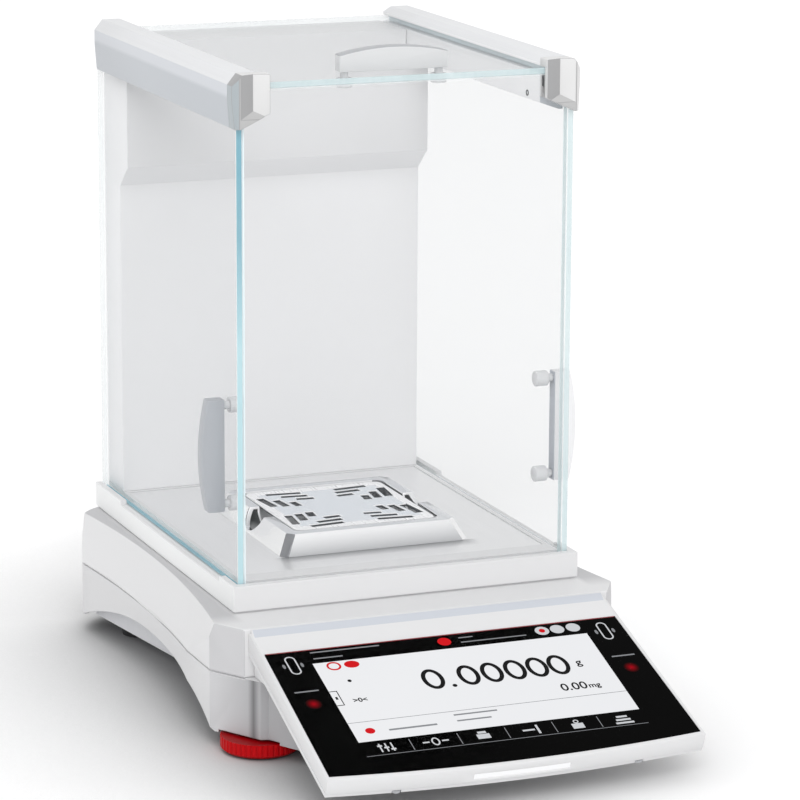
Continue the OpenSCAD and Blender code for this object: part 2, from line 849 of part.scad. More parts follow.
// Silver surround of the pan: a hollow ring with sloping walls, cut corners and a finger gap in each side
ring_half_x = 54.5;
ring_half_y = 57;
ring_slope = 6;
ring_t = 1.5;
finger_r = 12;
ring_cut = 3.6;
module ring_block(i, h) {
    hx = ring_half_x - i;
    hy = ring_half_y - i;
    corner = (hx + hy - ring_cut) / sqrt(2);
    intersection() {
        ring_prism(hx, hy, ring_slope, h);
        rotate(90) ring_prism(hy, hx, ring_slope, h);
        rotate(45) ring_prism(corner, 2 * hy, ring_slope * sqrt(2), h);
        rotate(-45) ring_prism(corner, 2 * hy, ring_slope * sqrt(2), h);
    }
}

// A bar along Y with sloping sides
module ring_prism(half, reach, slope, h) {
    rotate([90, 0, 0]) translate([0, 0, -reach]) linear_extrude(2 * reach)
        polygon([[-half, 0], [half, 0], [half - slope, h], [-half + slope, h]]);
}

// Opening of the surround round the pan, grown by i
module ring_opening(i) {
    rounded_plan(pan_w + 3 + 2 * i, pan_d + 3 + 2 * i, 6 + i);
}

module pan_surround() {
    color([0.82, 0.83, 0.84])
    translate([0, pan_y, foot_z])
        difference() {
            ring_block(0, ring_h);
            difference() {
                translate([0, 0, -eps]) ring_block(ring_t * 1.6, ring_h - ring_t);
                translate([0, 0, -1]) linear_extrude(big) ring_opening(ring_t);
            }
            translate([0, 0, -1]) linear_extrude(big) ring_opening(0);
            translate([-big / 2, 0, finger_r + 1.5]) rotate([0, 90, 0]) cylinder(r = finger_r, h = big);
        }
}

// Rectangle with rounded corners, w by d
module rounded_plan(w, d, r) {
    translate([-w / 2 + r, -d / 2]) square([w - 2 * r, d]);
    translate([-w / 2, -d / 2 + r]) square([w, d - 2 * r]);
    for (sx = [-1, 1])
        for (sy = [-1, 1])
            translate([sx * (w / 2 - r), sy * (d / 2 - r)]) circle(r);
}

// Slots of one eighth of the grille: three bars along the rim, longer towards it, that leave a star
module grille_octant() {
    for (k = [0 : 2])
        translate([7 + 1.5 * k, pan_w / 2 - 7 - (2 - k) * (slot_w + 2.1)]) rotate(6)
            translate([0, -slot_w / 2]) square([10 + 5 * k, slot_w]);
}

module weighing_pan() {
    color([0.84, 0.85, 0.86])
    translate([0, pan_y, foot_z + pan_rise - pan_t])
        linear_extrude(pan_t)
            difference() {
                rounded_plan(pan_w, pan_d, 5);
                for (q = [0 : 3])
                    rotate(90 * q) {
                        grille_octant();
                        mirror([1, 0]) grille_octant();
                    }
            }
}

module pan_support() {
    h = pan_rise - pan_t;
    color([0.5, 0.51, 0.52])
    translate([0, pan_y, foot_z])
        difference() {
            union() {
                translate([0, 0, h - 3]) cylinder(r = 17, h = 3);
                translate([0, 0, -3]) cylinder(r = 9, h = h);
            }
            translate([0, 0, -10]) cylinder(r = 5 + fit, h = 14.2);
        }
}

// Frame of the display: glass upper edge at the origin, down the slope along -Y
module on_slope() {
    translate([0, disp_y, disp_z]) rotate([tilt, 0, 0]) children();
}

// Outline on the slope, grown by side, front and back margins
module slope_plan(side, front, rear) {
    half0 = screen_w / 2 + side;
    half1 = half0 + 2.7;
    intersection() {
        polygon([[-half0, rear], [half0, rear], [half1, -bow_mid - 10], [-half1, -bow_mid - 10]]);
        translate([0, bow_r - bow_mid]) circle(bow_r + front, $fn = 720);
    }
}

// Box on the slope whose sides lie i inside the edges of the glass
module slope_box(i, y, l, z, h) {
    translate([-screen_w / 2 + i, y, z]) cube([screen_w - 2 * i, l, h]);
}

// Keeps only what lies before the upright back plane of the display
module before_back() {
    intersection() {
        children();
        translate([-big / 2, disp_back - big, 0]) cube([big, big, big]);
    }
}

module display_bezel() {
    color([0.92, 0.92, 0.93])
    before_back()
        on_slope()
            difference() {
                union() {
                    translate([0, 0, -bezel_t]) linear_extrude(bezel_t) slope_plan(rim_side, rim_front, 30);
                    translate([-screen_w / 2 - 1, 0, 0]) rotate([90, 0, 90]) linear_extrude(screen_w + 2)
                        polygon([[lip_u, -1], [lip_u, 0], [lip_u + 6, lip_rise], [30, lip_rise], [30, -1]]);
                }
                translate([0, 0, -screen_t]) linear_extrude(big) slope_plan(0.15, 0.15, 0.15);
                slope_box(6, -screen_l + 5, screen_l - 10, -bezel_t - 1, big);
                slope_box(3.5, -screen_l + 1, screen_l - 3, -bezel_t - 1, bezel_t - 2.5);
                light_box(0.1, 5);
                screw_places() cylinder(r = 1.35, h = 5.6);
            }
}

// Light bar in the middle of the front edge
light_half = 26;
light_z0 = -6.9;
light_h = 2.6;
light_y = -bow_mid - rim_front + 0.5;
light_d = 3;
module light_box(i, before) {
    translate([-light_half - i, light_y - before, light_z0 - i])
        cube([2 * (light_half + i), light_d + before + i, light_h + 2 * i]);
}

module status_light() {
    color([0.97, 0.98, 1]) on_slope() light_box(0, 0);
}

module touch_glass() {
    color([0.03, 0.03, 0.035])
    on_slope() translate([0, 0, -screen_t]) linear_extrude(screen_t) slope_plan(0, 0, 0);
}

lcd_u0 = 9;
lcd_u1 = screen_l - 8;
lcd_t = 3.8;
module lcd_panel() {
    color([0.9, 0.92, 0.95])
    on_slope() slope_box(18.5, -lcd_u1, lcd_u1 - lcd_u0, -screen_t - lcd_t, lcd_t);
}

dboard_z = -8.2;
dboard_t = 1.6;
module display_board() {
    color([0.1, 0.4, 0.2])
    on_slope() slope_box(7, -lcd_u1, lcd_u1 - lcd_u0, dboard_z, dboard_t);
}

module ir_lamps() {
    color([0.35, 0.02, 0.03])
    on_slope()
        for (s = [-1, 1])
            translate([s * (screen_w / 2 - 10.3), -46, dboard_z + dboard_t])
                cylinder(r = 2.5, h = -screen_t - dboard_z - dboard_t);
}

// Screw places of the back shell, on the slope, measured at the joint of the two shells
module screw_places() {
    for (s = [-1, 1])
        for (y = [9, -screen_l - 3])
            translate([s * (screen_w / 2 - 32.5), y, -bezel_t]) children();
}

module display_back() {
    color([0.88, 0.88, 0.89])
    before_back()
        on_slope()
            difference() {
                union() {
                    translate([0, 0, -bezel_t - back_t]) linear_extrude(back_t)
                        slope_plan(rim_side, rim_front - 1, 30);
                    for (s = [-1, 1])
                        for (u = [20, lcd_u1 - 11])
                            translate([s * (screen_w / 2 - 22.5), -u, -bezel_t - eps])
                                cylinder(r = 3, h = dboard_z + bezel_t + eps);
                }
                screw_places() translate([0, 0, -big / 2]) cylinder(r = 1.5, h = big);
                screw_places() translate([0, 0, -big - back_t + 1.5]) cylinder(r = 3, h = big);
            }
}

module display_screws() {
    color([0.6, 0.6, 0.62])
    on_slope()
        screw_places() {
            translate([0, 0, -back_t + 0.1]) cylinder(r = 2.7, h = 1.4);
            translate([0, 0, -back_t + 1.5 - eps]) cylinder(r = 1.25, h = back_t + 3.5);
        }
}

// Wedge that carries the display on the front of the lower housing
module display_stand() {
    w0 = -bezel_t - back_t;
    ya = disp_back;
    yb = -prow_y;
    y0 = disp_y - w0 * sin(tilt);
    z0 = disp_z + w0 * cos(tilt);
    half = screen_w / 2 - 1;
    color([0.9, 0.9, 0.91])
    difference() {
        rotate([90, 0, 90]) translate([0, 0, -half]) linear_extrude(2 * half)
            polygon([[ya, parting_z], [ya, z0 + (ya - y0) * tan(tilt)], [yb, z0 + (yb - y0) * tan(tilt)],
                [yb, parting_z]]);
        both() translate([half - 1, yb + 12 - big, 0]) rotate([0, 0, -32]) cube([big, big, big]);
    }
}

place() lower_housing();
place() upper_housing();
place() base_chassis();
place() weigh_below_plug();
place() rear_feet();
place() base_screws();
place() left_foot_wheel();
place() left_foot_stud();
place() left_foot_pad();
place() right_foot_wheel();
place() right_foot_stud();
place() right_foot_pad();
place() weigh_cell();
place() cell_magnet();
place() pan_spigot();
place() cal_weight();
place() cal_motor();
place() main_board();
place() board_screws();
place() rear_panel();
place() power_jack();
place() serial_port();
place() usb_ports();
place() network_port();
place() draft_frame();
place() floor_plate();
place() front_glass();
place() left_rail();
place() right_rail();
place() left_rail_cap();
place() right_rail_cap();
place() rear_column();
place() column_head();
place() rear_column_cover();
place() column_screws();
place() left_door_glass();
place() left_door_handle();
place() left_handle_caps();
place() left_door_glides();
place() right_door_glass();
place() right_door_handle();
place() right_handle_caps();
place() right_door_glides();
place() top_door_glass();
place() top_door_handle();
place() top_handle_caps();
place() pan_surround();
place() weighing_pan();
place() pan_support();
place() display_bezel();
place() touch_glass();
place() lcd_panel();
place() display_board();
place() display_back();
place() status_light();
place() ir_lamps();
place() display_stand();
place() display_screws();
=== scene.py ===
# %% [markdown]
# # Dressing a laboratory balance
# The solids of the balance come ready made, in metres, with Z up and the table at zero. This lesson dresses
# them: edges are eased, glass gets its green rims, the display gets its picture, and each material is mixed
# from nodes. The frame is loaded first, because every later piece is placed by it.

# %% Load the frame
import math

import bpy
import bmesh
from mathutils import Matrix, Vector


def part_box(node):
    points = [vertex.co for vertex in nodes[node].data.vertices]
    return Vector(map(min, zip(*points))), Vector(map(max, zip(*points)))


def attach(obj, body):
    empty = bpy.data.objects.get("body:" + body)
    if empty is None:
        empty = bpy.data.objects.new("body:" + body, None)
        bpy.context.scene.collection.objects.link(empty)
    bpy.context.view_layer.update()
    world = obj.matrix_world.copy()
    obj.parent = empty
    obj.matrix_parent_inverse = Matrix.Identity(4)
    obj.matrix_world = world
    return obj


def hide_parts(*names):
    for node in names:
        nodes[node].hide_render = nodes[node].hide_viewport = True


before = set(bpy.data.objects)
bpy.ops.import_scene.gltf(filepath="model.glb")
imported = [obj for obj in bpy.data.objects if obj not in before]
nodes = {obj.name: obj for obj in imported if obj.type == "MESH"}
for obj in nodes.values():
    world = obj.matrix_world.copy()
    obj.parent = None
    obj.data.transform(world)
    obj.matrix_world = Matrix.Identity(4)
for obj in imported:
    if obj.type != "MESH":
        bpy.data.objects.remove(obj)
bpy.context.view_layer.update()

MM = 0.001

# %% [markdown]
# ## The camera
# The picture was taken from the front left with a long lens, from about two metres. Its place was found by
# fitting the corners of the glass case and of the display, so the camera needs no shift.

# %% Camera
lens = bpy.data.cameras.new("camera")
lens.lens, lens.sensor_width, lens.clip_end = 172.77, 36, 60
camera = bpy.data.objects.new("camera", lens)
bpy.context.collection.objects.link(camera)
camera.location = (-0.7391, -1.8645, 0.6298)
camera.rotation_euler = [math.radians(turn) for turn in (76.937, -0.2922, -21.878)]
bpy.context.scene.camera = camera
bpy.context.scene.view_settings.view_transform = "Standard"
print("camera looks from", tuple(round(v, 3) for v in camera.location))

# %% [markdown]
# ## Writing shaders as sums
# A material is a graph of small nodes. Drawing it by hand is slow, so one class wraps a socket: a sum or a
# product of two values adds its Math node, and `add` brings in any other node with its settings first.

# %% A value in a shader
class Value:
    def __init__(self, tree, socket):
        self.tree, self.socket = tree, socket

    def add(self, kind, settings=None, inputs=None, out=0):
        node = self.tree.nodes.new("ShaderNode" + kind)
        for key, setting in (settings or {}).items():
            setattr(node, key, setting)
        for key, value in (inputs or {}).items():
            if isinstance(value, Value):
                self.tree.links.new(value.socket, node.inputs[key])
            else:
                node.inputs[key].default_value = value
        return Value(self.tree, node.outputs[out])

    def math(self, operation, first, second=0.0):
        return self.add("Math", {"operation": operation}, {0: first, 1: second})

    def __add__(self, other): return self.math("ADD", self, other)
    def __radd__(self, other): return self.math("ADD", other, self)
    def __sub__(self, other): return self.math("SUBTRACT", self, other)
    def __rsub__(self, other): return self.math("SUBTRACT", other, self)
    def __mul__(self, other): return self.math("MULTIPLY", self, other)
    def __rmul__(self, other): return self.math("MULTIPLY", other, self)
    def __truediv__(self, other): return self.math("DIVIDE", self, other)
    def __abs__(self): return self.math("ABSOLUTE", self)
    def __pow__(self, other): return self.math("POWER", self, other)
    def under(self, edge): return self.math("LESS_THAN", self, edge)
    def clamped(self): return self.add("Clamp", None, {"Value": self})


# %% A material and its parts
class Finish:
    def __init__(self, name, **constants):
        self.material = bpy.data.materials.new(name)
        self.material.use_nodes = True
        self.tree = self.material.node_tree
        self.shader = self.tree.nodes["Principled BSDF"]
        self.output = self.tree.nodes["Material Output"]
        for key, value in constants.items():
            self.shader.inputs[key.replace("_", " ")].default_value = value
        self.place = Value(self.tree, self.tree.nodes.new("ShaderNodeTexCoord").outputs["Object"])

    def xyz(self):
        parts = self.place.add("SeparateXYZ", None, {0: self.place}).socket.node
        return [Value(self.tree, s) for s in parts.outputs]

    def noise(self, scale, stretch=(1, 1, 1), detail=2.0):
        spread = self.place.add("Mapping", None, {"Vector": self.place, "Scale": stretch})
        return self.place.add("TexNoise", None, {"Vector": spread, "Scale": scale, "Detail": detail})

    def mix(self, mask, first, second):
        return self.place.add("Mix", {"data_type": "RGBA"}, {0: mask, 6: first, 7: second}, out=2)

    def feed(self, **links):
        for key, value in links.items():
            self.tree.links.new(value.socket, self.shader.inputs[key.replace("_", " ")])
        return self.material

    def bump(self, height, strength, distance):
        return self.place.add("Bump", None, {"Strength": strength, "Distance": distance, "Height": height})


def rgb(red, green, blue):
    """An 8-bit colour as the shader wants it."""
    line = [c / 255 for c in (red, green, blue)]
    return tuple(c / 12.92 if c <= 0.04045 else ((c + 0.055) / 1.055) ** 2.4 for c in line) + (1.0,)


print("white of the mouldings:", [round(c, 3) for c in rgb(222, 222, 223)[:3]])

# %% [markdown]
# ## Moulded plastic
# The housings are textured mouldings: a very fine grain from the eroded mould, a slight drift of tone over a
# long wall, and a satin gloss that changes with the grain. Noise at two scales gives all three.

# %% Plastic finishes
def moulded(name, colour, darker, rough, grain=0.10, **constants):
    finish = Finish(name, **constants)
    fine = finish.noise(3200, detail=1.0)
    drift = finish.noise(9, detail=2.0)
    finish.feed(Base_Color=finish.mix((drift * 0.8 + fine * 0.2).clamped(), colour, darker),
                Roughness=rough + (fine - 0.5) * 0.16,
                Normal=finish.bump(fine, grain, 0.00012))
    return finish.material


white_plastic = moulded("white moulding", rgb(222, 222, 223), rgb(218, 218, 219), 0.5)
# Painted shade on the slanting corners.
corner_painted_shade = moulded("corner moulding, painted shade", rgb(199, 199, 201), rgb(194, 194, 196), 0.5)
lower_plastic = moulded("lower moulding", rgb(215, 215, 216), rgb(209, 209, 210), 0.5)
column_plastic = moulded("column moulding", rgb(239, 239, 240), rgb(236, 236, 237), 0.5)
# Painted light on the column's sides.
column_side_painted_light = moulded("column sides, painted light", rgb(252, 252, 253), rgb(249, 249, 250), 0.5)
head_plastic = moulded("column head moulding", rgb(227, 227, 228), rgb(223, 223, 224), 0.5)
frame_plastic = moulded("tray frame moulding", rgb(224, 224, 225), rgb(220, 220, 221), 0.5)
# Painted light on the tray frame's sides.
frame_side_painted_light = moulded("tray frame sides, painted light", rgb(239, 240, 240), rgb(235, 236, 236), 0.5)
# Painted shade on the band behind the display glass and on the right handle's inner face.
grey_band_painted_shade = moulded("grey band, painted shade", rgb(202, 206, 213), rgb(196, 200, 208), 0.42)
# Painted light and shade: the rail end caps take one tone per face, by where each face looks.
cap_band_painted_shade = moulded("rail end, outer band, painted shade", rgb(172, 180, 184), rgb(165, 173, 177), 0.38)
cap_painted_shade = moulded("rail end, painted shade", rgb(164, 164, 165), rgb(156, 156, 157), 0.38)
cap_painted_light = moulded("rail end, painted light", rgb(221, 221, 221), rgb(215, 215, 215), 0.38)
cap_lip = moulded("rail end, lip", rgb(187, 187, 187), rgb(181, 181, 181), 0.38)
pale_plastic = moulded("pale clear pin", rgb(238, 238, 239), rgb(230, 231, 233), 0.22, 0.04,
                       Transmission_Weight=0.25, Coat_Weight=0.4)
# A dark moulding, and painted shade in the hollows of the rail screws and slots.
dark_plastic = moulded("dark moulding and painted shade", rgb(44, 45, 48), rgb(34, 35, 38), 0.5)
# Grey glides, and painted shade on the display screws and on the top of the top handle.
glide_grey_and_painted_shade = moulded("glide moulding and painted shade", rgb(176, 178, 181), rgb(166, 168, 172), 0.4)
# Painted shade: the left handle is a darker copy of the handle plastic.
handle_painted_shade = moulded("handle, painted shade", rgb(176, 179, 184), rgb(168, 171, 176), 0.4)
light_handle = moulded("light handle", rgb(240, 240, 241), rgb(234, 234, 236), 0.4)
top_grip = moulded("top handle", rgb(219, 220, 221), rgb(213, 214, 215), 0.4)
rubber = moulded("foot rubber", rgb(36, 36, 37), rgb(26, 26, 27), 0.75, 0.25)
print("plastics mixed")

# %% [markdown]
# ## Red plastic for the foot wheels
# The two wheels are a saturated red with ribs for the fingers. Between the ribs the colour is painted a little
# deeper, painted shade in the grooves: the distance from the wheel's axis tells rib from groove.

# %% Red plastic
def ribbed_red():
    finish = Finish("ribbed red", Specular_IOR_Level=0.12)
    low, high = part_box("right_foot_wheel")
    centre, radius = (low + high) / 2, (high.x - low.x) / 2
    x, y, z = finish.xyz()
    across, along = abs(x) - centre.x, y - centre.y
    out = (across * across + along * along) ** 0.5
    rib_top, rib_depth = radius - 0.2 * MM, MM / 1.8
    # Painted shade: the red is deeper between the ribs.
    groove_shade = ((rib_top - out) / rib_depth).clamped()
    fine = finish.noise(2600, detail=1.0)
    return finish.feed(Base_Color=finish.mix(groove_shade * 0.45, rgb(178, 0, 8), rgb(104, 0, 5)),
                       Roughness=0.34 + fine * 0.1, Normal=finish.bump(fine, 0.08, 0.0001))


red_plastic = ribbed_red()
print("red mixed")

# %% [markdown]
# ## Metals
# Rolled and brushed metal shows fine lines along the way it was worked. Noise that is squeezed across and drawn
# out along one axis gives the lines, and they change the gloss more than the colour.

# %% Metal finishes
def metal(name, colour, rough, stretch, lines=0.12, metallic=1.0, **constants):
    finish = Finish(name, Metallic=metallic, **constants)
    streak = finish.noise(700, stretch, detail=3.0)
    cloud = finish.noise(25, detail=1.0)
    deep = tuple(c * 0.9 for c in colour[:3]) + (1.0,)
    finish.feed(Base_Color=finish.mix((streak * 0.6 + cloud * 0.4).clamped(), colour, deep),
                Roughness=rough + (streak - 0.5) * lines,
                Normal=finish.bump(streak, lines * 0.4, 0.00008))
    return finish.material


def floor_finish():
    """Brushed plate, painted darker along the front of the surround: a painted shadow and reflection of it."""
    finish = Finish("brushed floor plate", Metallic=0.5)
    low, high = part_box("pan_surround")
    x, y, z = finish.xyz()
    streak = finish.noise(700, (1, 0.02, 1), detail=3.0)
    shade_deep, shade_side = 11 * MM, 8 * MM
    # Painted shadow and reflection: a dark band on the plate along the front of the surround.
    before = (1 - (low.y - y) / shade_deep).clamped() * ((high.x - abs(x)) / shade_side + 0.6).clamped()
    plain = finish.mix(streak, rgb(238, 238, 239), rgb(226, 226, 227))
    return finish.feed(Base_Color=finish.mix(before * y.under(low.y + MM), plain, rgb(150, 150, 152)),
                       Roughness=0.3 + (streak - 0.5) * 0.04, Normal=finish.bump(streak, 0.016, 0.00008))


floor_steel = floor_finish()
screw_steel = metal("plated screw", rgb(190, 191, 194), 0.3, (1, 1, 0.2), 0.1)
cast_metal = metal("cast tray", rgb(224, 225, 228), 0.55, (0.3, 0.3, 0.3), 0.2, 0.3)
milled_metal = metal("milled block", rgb(206, 208, 211), 0.3, (0.05, 1, 1))
magnet_metal = metal("plated magnet pot", rgb(158, 160, 164), 0.32, (1, 1, 0.1))
port_metal = metal("plated socket", rgb(212, 214, 217), 0.28, (0.2, 1, 1))
bright_steel = metal("bright steel", rgb(224, 226, 229), 0.16, (1, 0.05, 1), 0.06)
# Painted light: the rails' upper faces, and their inner faces and undersides, are painted lighter.
rail_top_painted_light = metal("rail paint, upper face, painted light", rgb(230, 231, 233), 0.42, (1, 0.02, 1), 0.1, 0.2)
rail_inside_painted_light = metal("rail paint, inner face, painted light", rgb(250, 250, 251), 0.42, (1, 0.02, 1), 0.1, 0.0)
# Painted shade on the pan's slot walls and on the pan support; painted highlight on the slot bevels.
pan_walls_painted_shade = metal("pan walls, painted shade", rgb(104, 106, 110), 0.4, (1, 0.1, 1), 0.1, 0.6)
pan_support_painted_shade = metal("pan support, painted shade", rgb(150, 152, 156), 0.4, (1, 0.1, 1), 0.1, 0.6)
slot_edges_painted_highlight = metal("slot edges, painted highlight", rgb(250, 250, 251), 0.2, (1, 1, 0.2), 0.06, 0.3)
# Painted light on the surround's sides, painted shade on its corners.
side_bend_painted_light = metal("surround side, painted light", rgb(253, 253, 253), 0.14, (1, 0.05, 1), 0.06, 1.0)
corner_bend_painted_shade = metal("surround corner, painted shade", rgb(134, 135, 138), 0.25, (1, 1, 0.05), 0.06, 0.3)


def toned(name, node, share, soft, foot, head, rough, metallic):
    """A metal whose tone changes with height, at a share of the height of a node's box."""
    finish = Finish(name, Metallic=metallic)
    low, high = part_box(node)
    x, y, z = finish.xyz()
    streak = finish.noise(700, (1, 0.02, 1), detail=3.0)
    rise = ((z - (low.z + share * (high.z - low.z))) / (soft * (high.z - low.z)) + 0.5).clamped()
    return finish.feed(Base_Color=finish.mix((rise + (streak - 0.5) * 0.08).clamped(), foot, head),
                       Roughness=rough + (streak - 0.5) * 0.1, Normal=finish.bump(streak, 0.05, 0.00008))


# Painted light and shade: each of these is painted darker towards its foot and lighter above.
rail_side_light_and_shade = toned("rail paint, side, painted light and shade", "left_rail", 0.58, 0.08, rgb(190, 194, 199), rgb(208, 211, 216), 0.42, 0.2)
front_bend_light_and_shade = toned("surround front, painted light and shade", "pan_surround", 0.42, 0.9, rgb(184, 185, 187), rgb(240, 240, 241), 0.3, 0.3)
print("metals mixed")

# %% [markdown]
# ## The pan's polish
# The pan is polished steel. Its star in the middle is painted blue grey, a painted reflection of the sky, and
# the flat rim is brushed round about, so it looks paler. The larger of the distances from the middle parts the
# two.

# %% Pan finish
def pan_polish():
    finish = Finish("polished pan", Metallic=0.4)
    low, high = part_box("weighing_pan")
    centre = (low + high) / 2
    x, y, z = finish.xyz()
    reach = finish.place.math("MAXIMUM", abs(x - centre.x), abs(y - centre.y))
    star_reach, fade = 34.5 * MM, MM / 0.7
    rim = ((reach - star_reach) / fade).clamped()
    lines = finish.noise(900, (1, 0.03, 1), detail=2.0)
    # Painted reflection: the star is blue grey for the sky it mirrors.
    return finish.feed(Base_Color=finish.mix(rim, rgb(224, 229, 235), rgb(248, 248, 249)),
                       Roughness=0.12 + rim * 0.16 + (lines - 0.5) * 0.05,
                       Normal=finish.bump(lines, 0.03, 0.00005))


pan_steel = pan_polish()
print("pan mixed")

# %% [markdown]
# ## Glass
# Float glass is all but invisible face on, mirrors its surroundings at a low angle, and is green at its ground
# edges, where the eye looks along the sheet. How green an edge looks depends on what lies behind it, so there is
# a face that is nearly clear, whose opacity rises at a low angle, and five edges, from blue green to white: their
# tints are painted light, for what lies behind each edge, and the white edge is a painted highlight. The fifth,
# at the front of the left door, changes with height.

# %% Glass finishes
def glass_face():
    finish = Finish("clear pane", Base_Color=rgb(160, 166, 170), Roughness=0.04, IOR=1.5)
    facing = finish.place.add("LayerWeight", None, {"Blend": 0.35}, out=1)
    return finish.feed(Alpha=0.045 + facing ** 3 * 0.36)


def glass_edge(name, light, deep, solid):
    finish = Finish(name, Roughness=0.12, IOR=1.5, Specular_IOR_Level=0.2)
    stripes = finish.noise(420, (1, 1, 0.05), detail=2.0)
    clouds = finish.noise(18, detail=1.0)
    return finish.feed(Base_Color=finish.mix((stripes * 0.5 + clouds * 0.6).clamped(), light, deep),
                       Alpha=solid + (clouds - 0.5) * 0.2)


def tinted_edge():
    """The front edge of the left door, painted deep green at the top and pale below, for what lies behind it."""
    finish = Finish("tinted pane edge", Roughness=0.12, IOR=1.5, Specular_IOR_Level=0.2)
    low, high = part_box("left_door_glass")
    clouds = finish.noise(18, detail=1.0)
    rise = (((finish.xyz()[2] - low.z) / (high.z - low.z) - 0.62) * 5 + 0.5 + (clouds - 0.5) * 0.4).clamped()
    return finish.feed(Base_Color=finish.mix(rise, rgb(184, 218, 225), rgb(122, 174, 190)),
                       Alpha=0.9 + (clouds - 0.5) * 0.2)


pane_face = glass_face()
# Painted light: the tints of the edges stand for what lies behind them; the white one is a painted highlight.
green_edge = glass_edge("green pane edge", rgb(152, 206, 217), rgb(90, 150, 170), 0.92)
pale_edge = glass_edge("pale pane edge", rgb(218, 231, 232), rgb(186, 209, 213), 0.75)
clear_edge = glass_edge("clear pane edge", rgb(244, 247, 247), rgb(226, 236, 238), 0.4)
white_edge_painted_highlight = glass_edge("white pane edge, painted highlight", rgb(246, 253, 255), rgb(228, 244, 248), 0.9)
door_edge = tinted_edge()
print("glass mixed")

# %% [markdown]
# ## Circuit boards
# A board is green lacquer over copper. The tracks lie a little proud and look lighter: a brick pattern, drawn
# out along the board, gives runs of track with breaks between them.

# %% Board finish
def board_lacquer():
    finish = Finish("board lacquer", Coat_Weight=0.3)
    tracks = finish.place.add("TexBrick", {"offset": 0.37}, {
        "Vector": finish.place, "Color1": rgb(20, 112, 62), "Color2": rgb(16, 92, 50),
        "Mortar": rgb(92, 150, 84), "Scale": 160.0, "Mortar Size": 0.012, "Brick Width": 1.4})
    speck = finish.noise(1500, detail=1.0)
    return finish.feed(Base_Color=tracks, Roughness=0.35 + speck * 0.15, Normal=finish.bump(speck, 0.05, 0.0001))


board_green = board_lacquer()
print("board mixed")

# %% [markdown]
# ## The display's finishes
# The touch glass is black behind, so only its gloss shows. The picture on it gives light of its own: an
# emission of about one renders as the colour that is written, whatever the lamps do.

# %% Display finishes
def lit(name, colour, dimmer, strength=1.0):
    finish = Finish(name, Base_Color=(0.01, 0.01, 0.01, 1), Roughness=0.3, Specular_IOR_Level=0.0)
    drift = finish.noise(14, detail=1.0)
    finish.shader.inputs["Emission Strength"].default_value = strength
    return finish.feed(Emission_Color=finish.mix(drift, colour, dimmer))


def dark_glass():
    finish = Finish("black glass", Specular_IOR_Level=0.012)
    film = finish.noise(30, detail=3.0)
    return finish.feed(Base_Color=finish.mix(film, rgb(1, 1, 1), rgb(4, 4, 4)), Roughness=0.16 + film * 0.08)


black_glass = dark_glass()
screen_white = lit("lit page", rgb(241, 242, 244), rgb(237, 238, 241), 0.97)
screen_black = lit("lit black", rgb(16, 16, 18), rgb(22, 22, 24), 0.6)
screen_grey = lit("lit grey", rgb(150, 152, 156), rgb(136, 138, 142), 0.9)
screen_pale = lit("lit pale", rgb(214, 216, 219), rgb(206, 208, 212), 0.95)
screen_red = lit("lit red", rgb(222, 10, 24), rgb(206, 6, 18), 0.95)
edge_red = moulded("red edge print", rgb(150, 14, 26), rgb(120, 10, 20), 0.3)
light_bar = lit("light guide", rgb(254, 254, 255), rgb(248, 249, 251), 1.0)
print("display mixed")


# %% [markdown]
# ## Helpers for the hands
# Blender's operators act on whatever is selected. Each helper first selects just the piece it works on. A skin
# starts as a copy of a solid: its loose triangles are merged, flat runs become one face, and then its sharp
# edges are eased, as the edge of a real moulding or plate is.

# %% Selecting, starting and finishing a piece
def only(piece):
    if bpy.context.object and bpy.context.object.mode != "OBJECT":
        bpy.ops.object.mode_set(mode="OBJECT")
    bpy.ops.object.select_all(action="DESELECT")
    piece.select_set(True)
    bpy.context.view_layer.objects.active = piece


def skin_of(node, name):
    mesh = nodes[node].data.copy()
    mesh.materials.clear()
    piece = bpy.data.objects.new(name, mesh)
    bpy.context.collection.objects.link(piece)
    only(piece)
    bpy.ops.mesh.customdata_custom_splitnormals_clear()
    bpy.ops.object.mode_set(mode="EDIT")
    bpy.ops.mesh.select_all(action="SELECT")
    bpy.ops.mesh.remove_doubles(threshold=2e-6)
    bpy.ops.mesh.dissolve_limited(angle_limit=math.radians(0.5))
    bpy.ops.object.mode_set(mode="OBJECT")
    return piece


SHARP = math.radians(30)


def pick_edges(piece, wanted):
    """In edit mode, selects the outward sharp edges whose middle the test wants."""
    bpy.ops.mesh.select_mode(type="EDGE")
    bpy.ops.mesh.select_all(action="DESELECT")
    shape = bmesh.from_edit_mesh(piece.data)
    count = 0
    for edge in shape.edges:
        if len(edge.link_faces) == 2 and edge.is_convex:
            middle = (edge.verts[0].co + edge.verts[1].co) / 2
            if edge.calc_face_angle(0.0) > SHARP and wanted(middle):
                edge.select_set(True)
                count += 1
    bmesh.update_edit_mesh(piece.data)
    return count


def anywhere(middle):
    return True


def eased(piece, by, wanted=anywhere, segments=2):
    only(piece)
    bpy.ops.object.mode_set(mode="EDIT")
    if pick_edges(piece, wanted):
        bpy.ops.mesh.bevel(offset=by, segments=segments, affect="EDGES", clamp_overlap=False)
    bpy.ops.object.mode_set(mode="OBJECT")
    return piece


def done(piece, material, body, slot, *stands_for, smooth=35):
    only(piece)
    bpy.ops.object.shade_smooth_by_angle(angle=math.radians(smooth))
    if material:
        piece.data.materials.clear()
        piece.data.materials.append(material)
    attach(piece, body)
    if stands_for:
        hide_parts(*stands_for)
    return piece


def also(piece, *materials):
    """More finishes for a piece, for faces that look another way."""
    for material in materials:
        piece.data.materials.append(material)


